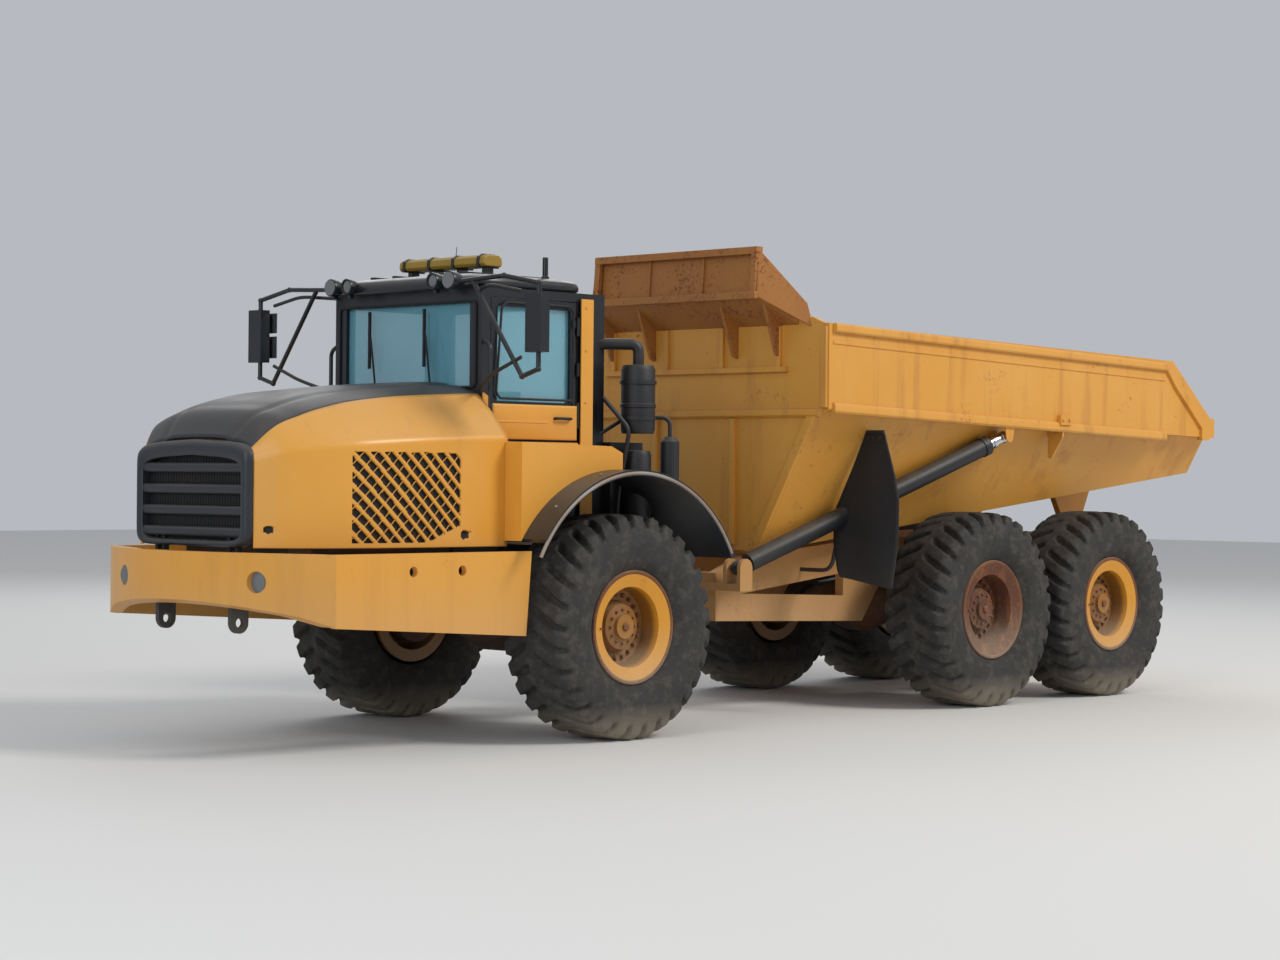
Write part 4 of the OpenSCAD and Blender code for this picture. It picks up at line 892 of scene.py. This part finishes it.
# Grab rails beside the windscreen, above and below the deck
rails = [hoop([(3.43, 0.93, 2.235), (3.43, 0.93, 2.95), (3.43, 0.865, 2.98)], 0.05, 0.016),
         hoop([(3.43, 0.86, 1.62), (3.43, 0.93, 1.64), (3.43, 0.93, 2.14), (3.43, 0.86, 2.16)], 0.05, 0.014)]
addPiece("grab_rails", bothSides(rails), cabBlack, "front")


def pillarParts():
    # folded uprights at the cab's rear corners
    outline = [(2.312, 0.8), (2.312, 0.884), (2.44, 0.884), (2.44, 0.872), (2.33, 0.868), (2.33, 0.8)]
    bolts = boltsAt([(2.39, 0.884, z) for z in (1.7, 2.1, 2.55, 2.95, 3.28)], (0, 1, 0), 0.011, 0.009)
    return bothSides([slab(outline, 2, 1.56, 3.345)] + bolts)


addPiece("cab_rear_pillars", pillarParts(), bodyYellow, "front", bevel=0.003)


def doorTrimParts():
    # handle on its plate, rubber round the glass, hinge barrels on the hinge line
    handle = [(x, y, 2.42) for x, y in ((2.56, 0.868), (2.56, 0.915), (2.72, 0.915), (2.72, 0.868))]
    parts = [hoop(handle, 0.03, 0.011), boxOf((2.52, 0.866, 2.375), (2.76, 0.88, 2.465))]
    parts.append(hoop([(x, 0.874, z) for x, z in doorSeal], 0.02, 0.009, 8, 4))
    barrel = [(-0.05, 0.013), (0.05, 0.013)]
    return parts + [turnedOf(barrel, (2.462, 0.866, z), (0, 0, 1), 14) for z in (2.4, 2.8, 3.15)]


addPiece("door_handle_and_seal", doorTrimParts(), rubberBlack, "door")

fender = {"radius": 1.16, "y": 1.578, "bead": 0.013, "sweep": (28, 152), "boltRadius": 1.183, "boltY": 1.46}


def fenderEdgeParts():
    # a rolled bead round the front fenders' outer edge, and bolts where the fender meets its stays, both in a pale tone
    # that paints a highlight on the edge
    x, _, z = middleOf("tyre_front_left")
    turn, radius = np.radians(np.linspace(*fender["sweep"], 60)), fender["radius"]
    parts = [tubeOf(gridOf(x + radius * np.cos(turn), fender["y"], z + radius * np.sin(turn)), fender["bead"], 10)]
    for at in np.radians([50, 75, 105, 130]):
        way = np.array([math.cos(at), 0, math.sin(at)])
        parts += boltsAt([way * fender["boltRadius"] + (x, fender["boltY"], z)], way, 0.013, 0.01)
    return bothSides(parts)


addPiece("fender_beads", fenderEdgeParts(), edgeHighlightAndWear, "front")

# The door's lower panel and the corner ahead of it: x, z
doorPanel = [(2.475, 2.256), (3.352, 2.256), (3.352, 2.52), (2.475, 2.52)]
cornerPanel = [(3.368, 2.25), (3.44, 2.25), (3.44, 2.6), (3.368, 2.56)]


def panelParts():
    # folded in at its edges, with a pressed line
    outer = np.array(doorPanel)
    inner = outer + 0.015 * np.array([(1, 1), (-1, 1), (-1, -1), (1, -1)])
    rings = [np.insert(ring, 1, y, axis=1) for ring, y in ((outer, 0.864), (outer, 0.874), (inner, 0.882))]
    return [skin(rings), boxOf((2.78, 0.88, 2.38), (3.32, 0.886, 2.396))]


def sidePanelParts():
    # the cab's side ahead of the door and below it, and all of it on the side without a door
    near = [slab(cornerPanel, 1, 0.85, 0.868), boxOf((2.455, 0.852, 2.17), (3.44, 0.87, 2.238))]
    return bothSides(near) + [boxOf((2.455, -0.872, 2.25), (3.352, -0.85, 2.52))]


addPiece("door_lower_panel", panelParts(), bodyYellow, "door", bevel=0.003)
addPiece("cab_side_panels", sidePanelParts(), bodyYellow, "front", bevel=0.003)

mirrorArms = ([(3.47, 0.83, 3.36), (3.6, 1.1, 3.38), (3.6, 1.44, 3.32)],
              [(3.47, 0.85, 2.62), (3.6, 1.12, 2.72), (3.6, 1.44, 2.84)])
mirrorPanes = ((2.905, 3.08), (3.105, 3.265))  # foot and head of the wide and the tall glass

addPiece("mirror_arms", bothSides([hoop(arm, 0.09, 0.014) for arm in mirrorArms]), frameBlack, "front")
addPiece("mirror_glass", bothSides([boxOf((3.548, 1.47, low), (3.553, 1.665, high)) for low, high in mirrorPanes]),
         chrome, "front")


# Between the cab and the bed: air filter drums, an accumulator and rigid pipes

filters = {"x": 1.86, "y": 0.93, "upper": 2.62, "lower": 1.95, "lowerShare": 0.8, "bands": (2.44, 2.72)}
# Distance along the axis, radius
drum = [(-0.3, 0.09), (-0.3, 0.125), (-0.27, 0.135), (-0.1, 0.135), (-0.095, 0.142), (-0.07, 0.142), (-0.065, 0.135),
        (0.2, 0.135), (0.235, 0.12), (0.24, 0.06)]
accumulator = [(-0.22, 0.05), (-0.2, 0.075), (0.16, 0.075), (0.2, 0.04)]
band = [(-0.014, 0.139), (-0.014, 0.146), (0.014, 0.146), (0.014, 0.139)]
pipes = (
    ([(1.86, 0.93, 2.84), (1.86, 0.93, 3.02), (2.1, 0.7, 3.02), (2.14, 0.66, 2.9)], 0.045),
    ([(2.04, 0.86, 1.5), (2.04, 0.92, 1.95), (2.02, 1.00, 2.35), (2.12, 0.8, 2.6)], 0.018),
    ([(1.62, 1.05, 2.3), (1.62, 1.05, 2.45), (1.86, 0.8, 2.45), (2.1, 0.72, 2.3)], 0.016),
    ([(1.58, 1.02, 1.88), (1.56, 0.98, 1.55), (1.7, 0.8, 1.45), (2.00, 0.6, 1.4)], 0.02),
    ([(1.7, 0.95, 1.8), (1.68, 0.9, 1.6), (1.9, 0.72, 1.45)], 0.014))


def gearParts():
    x, y, share = filters["x"], filters["y"], filters["lowerShare"]
    parts = [turnedOf(drum, (x, y, filters["upper"]), (0, 0, 1), 36)]
    parts.append(turnedOf([(along, radius * share) for along, radius in drum], (x, y, filters["lower"]), (0, 0, 1), 36))
    parts.append(turnedOf(accumulator, (1.62, 1.05, 2.1), (0, 0, 1), 24))
    parts += [turnedOf(band, (x, y, z), (0, 0, 1), 36) for z in filters["bands"]]
    return parts + [hoop(corners, 0.07, radius) for corners, radius in pipes]


addPiece("air_filters_and_pipes", gearParts(), frameBlack, "front")
print("cab dressed")


# Engine: covers, pipes and a fan on the plain block under the hood

engine = {"covers": (3.62, 3.96, 4.3), "length": 0.3, "low": 2.14, "high": 2.215, "inner": 0.07, "outer": 0.25}
fanProfile = [(0.0, 0.1), (0.04, 0.105), (0.05, 0.31), (0.09, 0.33), (0.1, 0.33), (0.1, 0.12), (0.13, 0.07)]
capProfile = [(0, 0.035), (0.025, 0.035), (0.03, 0.05), (0.05, 0.05), (0.055, 0.03)]
intakePath = [(3.6, 0.31, 2.2), (4.5, 0.31, 2.2), (4.74, 0.3, 2.2), (4.9, 0.2, 2.16)]
coolantPath = [(3.7, -0.31, 2.19), (4.45, -0.31, 2.19), (4.7, -0.38, 2.1), (4.86, -0.38, 2.05)]


def engineParts():
    e, covers = engine, []
    for x in e["covers"]:
        covers.append(boxOf((x, e["inner"], e["low"]), (x + e["length"], e["outer"], e["high"])))
        bolts = [(x + along, (e["inner"] + e["outer"]) / 2, e["high"]) for along in (0.03, e["length"] - 0.03)]
        covers += boltsAt(bolts, (0, 0, 1), 0.014, 0.014)
    parts = bothSides(covers) + [hoop(intakePath, 0.1, 0.045), hoop(coolantPath, 0.1, 0.038)]
    parts.append(turnedOf(fanProfile, (4.66, 0.0, 1.8), (1, 0, 0), 40))
    return parts + [turnedOf(capProfile, (4.94, 0.0, 2.15), (0, 0, 1), 24)]


addPiece("engine_covers_and_pipes", engineParts(), axleGrime, "front", bevel=0.006)
print("engine dressed")


# Stage, light and camera

stage = {"floor": 60.0, "floorColour": (0.7, 0.69, 0.67), "sky": (0.86, 0.9, 0.96), "skyStrength": 0.55}


def makeStage():
    mesh = bpy.data.meshes.new("floor")
    half = stage["floor"]
    mesh.from_pydata([(-half, -half, 0), (half, -half, 0), (half, half, 0), (-half, half, 0)], [], [(0, 1, 2, 3)])
    floor = addObject("floor", mesh)
    mesh.materials.append(Shader("floorGrey").finish(Base_Color=stage["floorColour"], Roughness=0.9))
    world = bpy.data.worlds.new("sky")
    world.use_nodes = True
    inputs = world.node_tree.nodes["Background"].inputs
    inputs["Color"].default_value = (*stage["sky"], 1)
    inputs["Strength"].default_value = stage["skyStrength"]
    scene.world = world
    scene.view_settings.view_transform = "Standard"


def areaLight(name, place, aim, size, power, colour=(1, 1, 1)):
    data = bpy.data.lights.new(name, "AREA")
    data.size, data.energy, data.color = size, power, colour
    lamp = addObject(name, data)
    lamp.location = place
    lamp.rotation_euler = (Vector(aim) - Vector(place)).to_track_quat("-Z", "Y").to_euler()


photoCamera = {"place": (16.634, 15.305, 1.986), "yaw": 224.156, "pitch": -0.081, "roll": 0.531, "focal": 2629.4}


def makeCamera():
    yaw, pitch, roll = (math.radians(photoCamera[k]) for k in ("yaw", "pitch", "roll"))
    ahead = Vector((math.cos(yaw) * math.cos(pitch), math.sin(yaw) * math.cos(pitch), math.sin(pitch)))
    right = Vector((math.sin(yaw), -math.cos(yaw), 0))
    up = right.cross(ahead)
    across = right * math.cos(roll) + up * math.sin(roll)
    upright = -right * math.sin(roll) + up * math.cos(roll)
    data = bpy.data.cameras.new("camera")
    data.sensor_width = 36
    data.lens = 36 * photoCamera["focal"] / 1280
    camera = addObject("camera", data)
    camera.matrix_world = Matrix.Translation(photoCamera["place"]) @ Matrix(
        (across, upright, -ahead)).transposed().to_4x4()
    scene.camera = camera


makeStage()
areaLight("keyLight", (-7, 20, 20), (0, 0, 1.5), 8, 4300, (1, 0.965, 0.9))
areaLight("fillLight", (22, 6, 9), (1, 0, 1.5), 12, 1100, (0.88, 0.94, 1))
areaLight("backLight", (-12, -16, 16), (0, 0, 2), 14, 1200)
makeCamera()
print("stage ready")
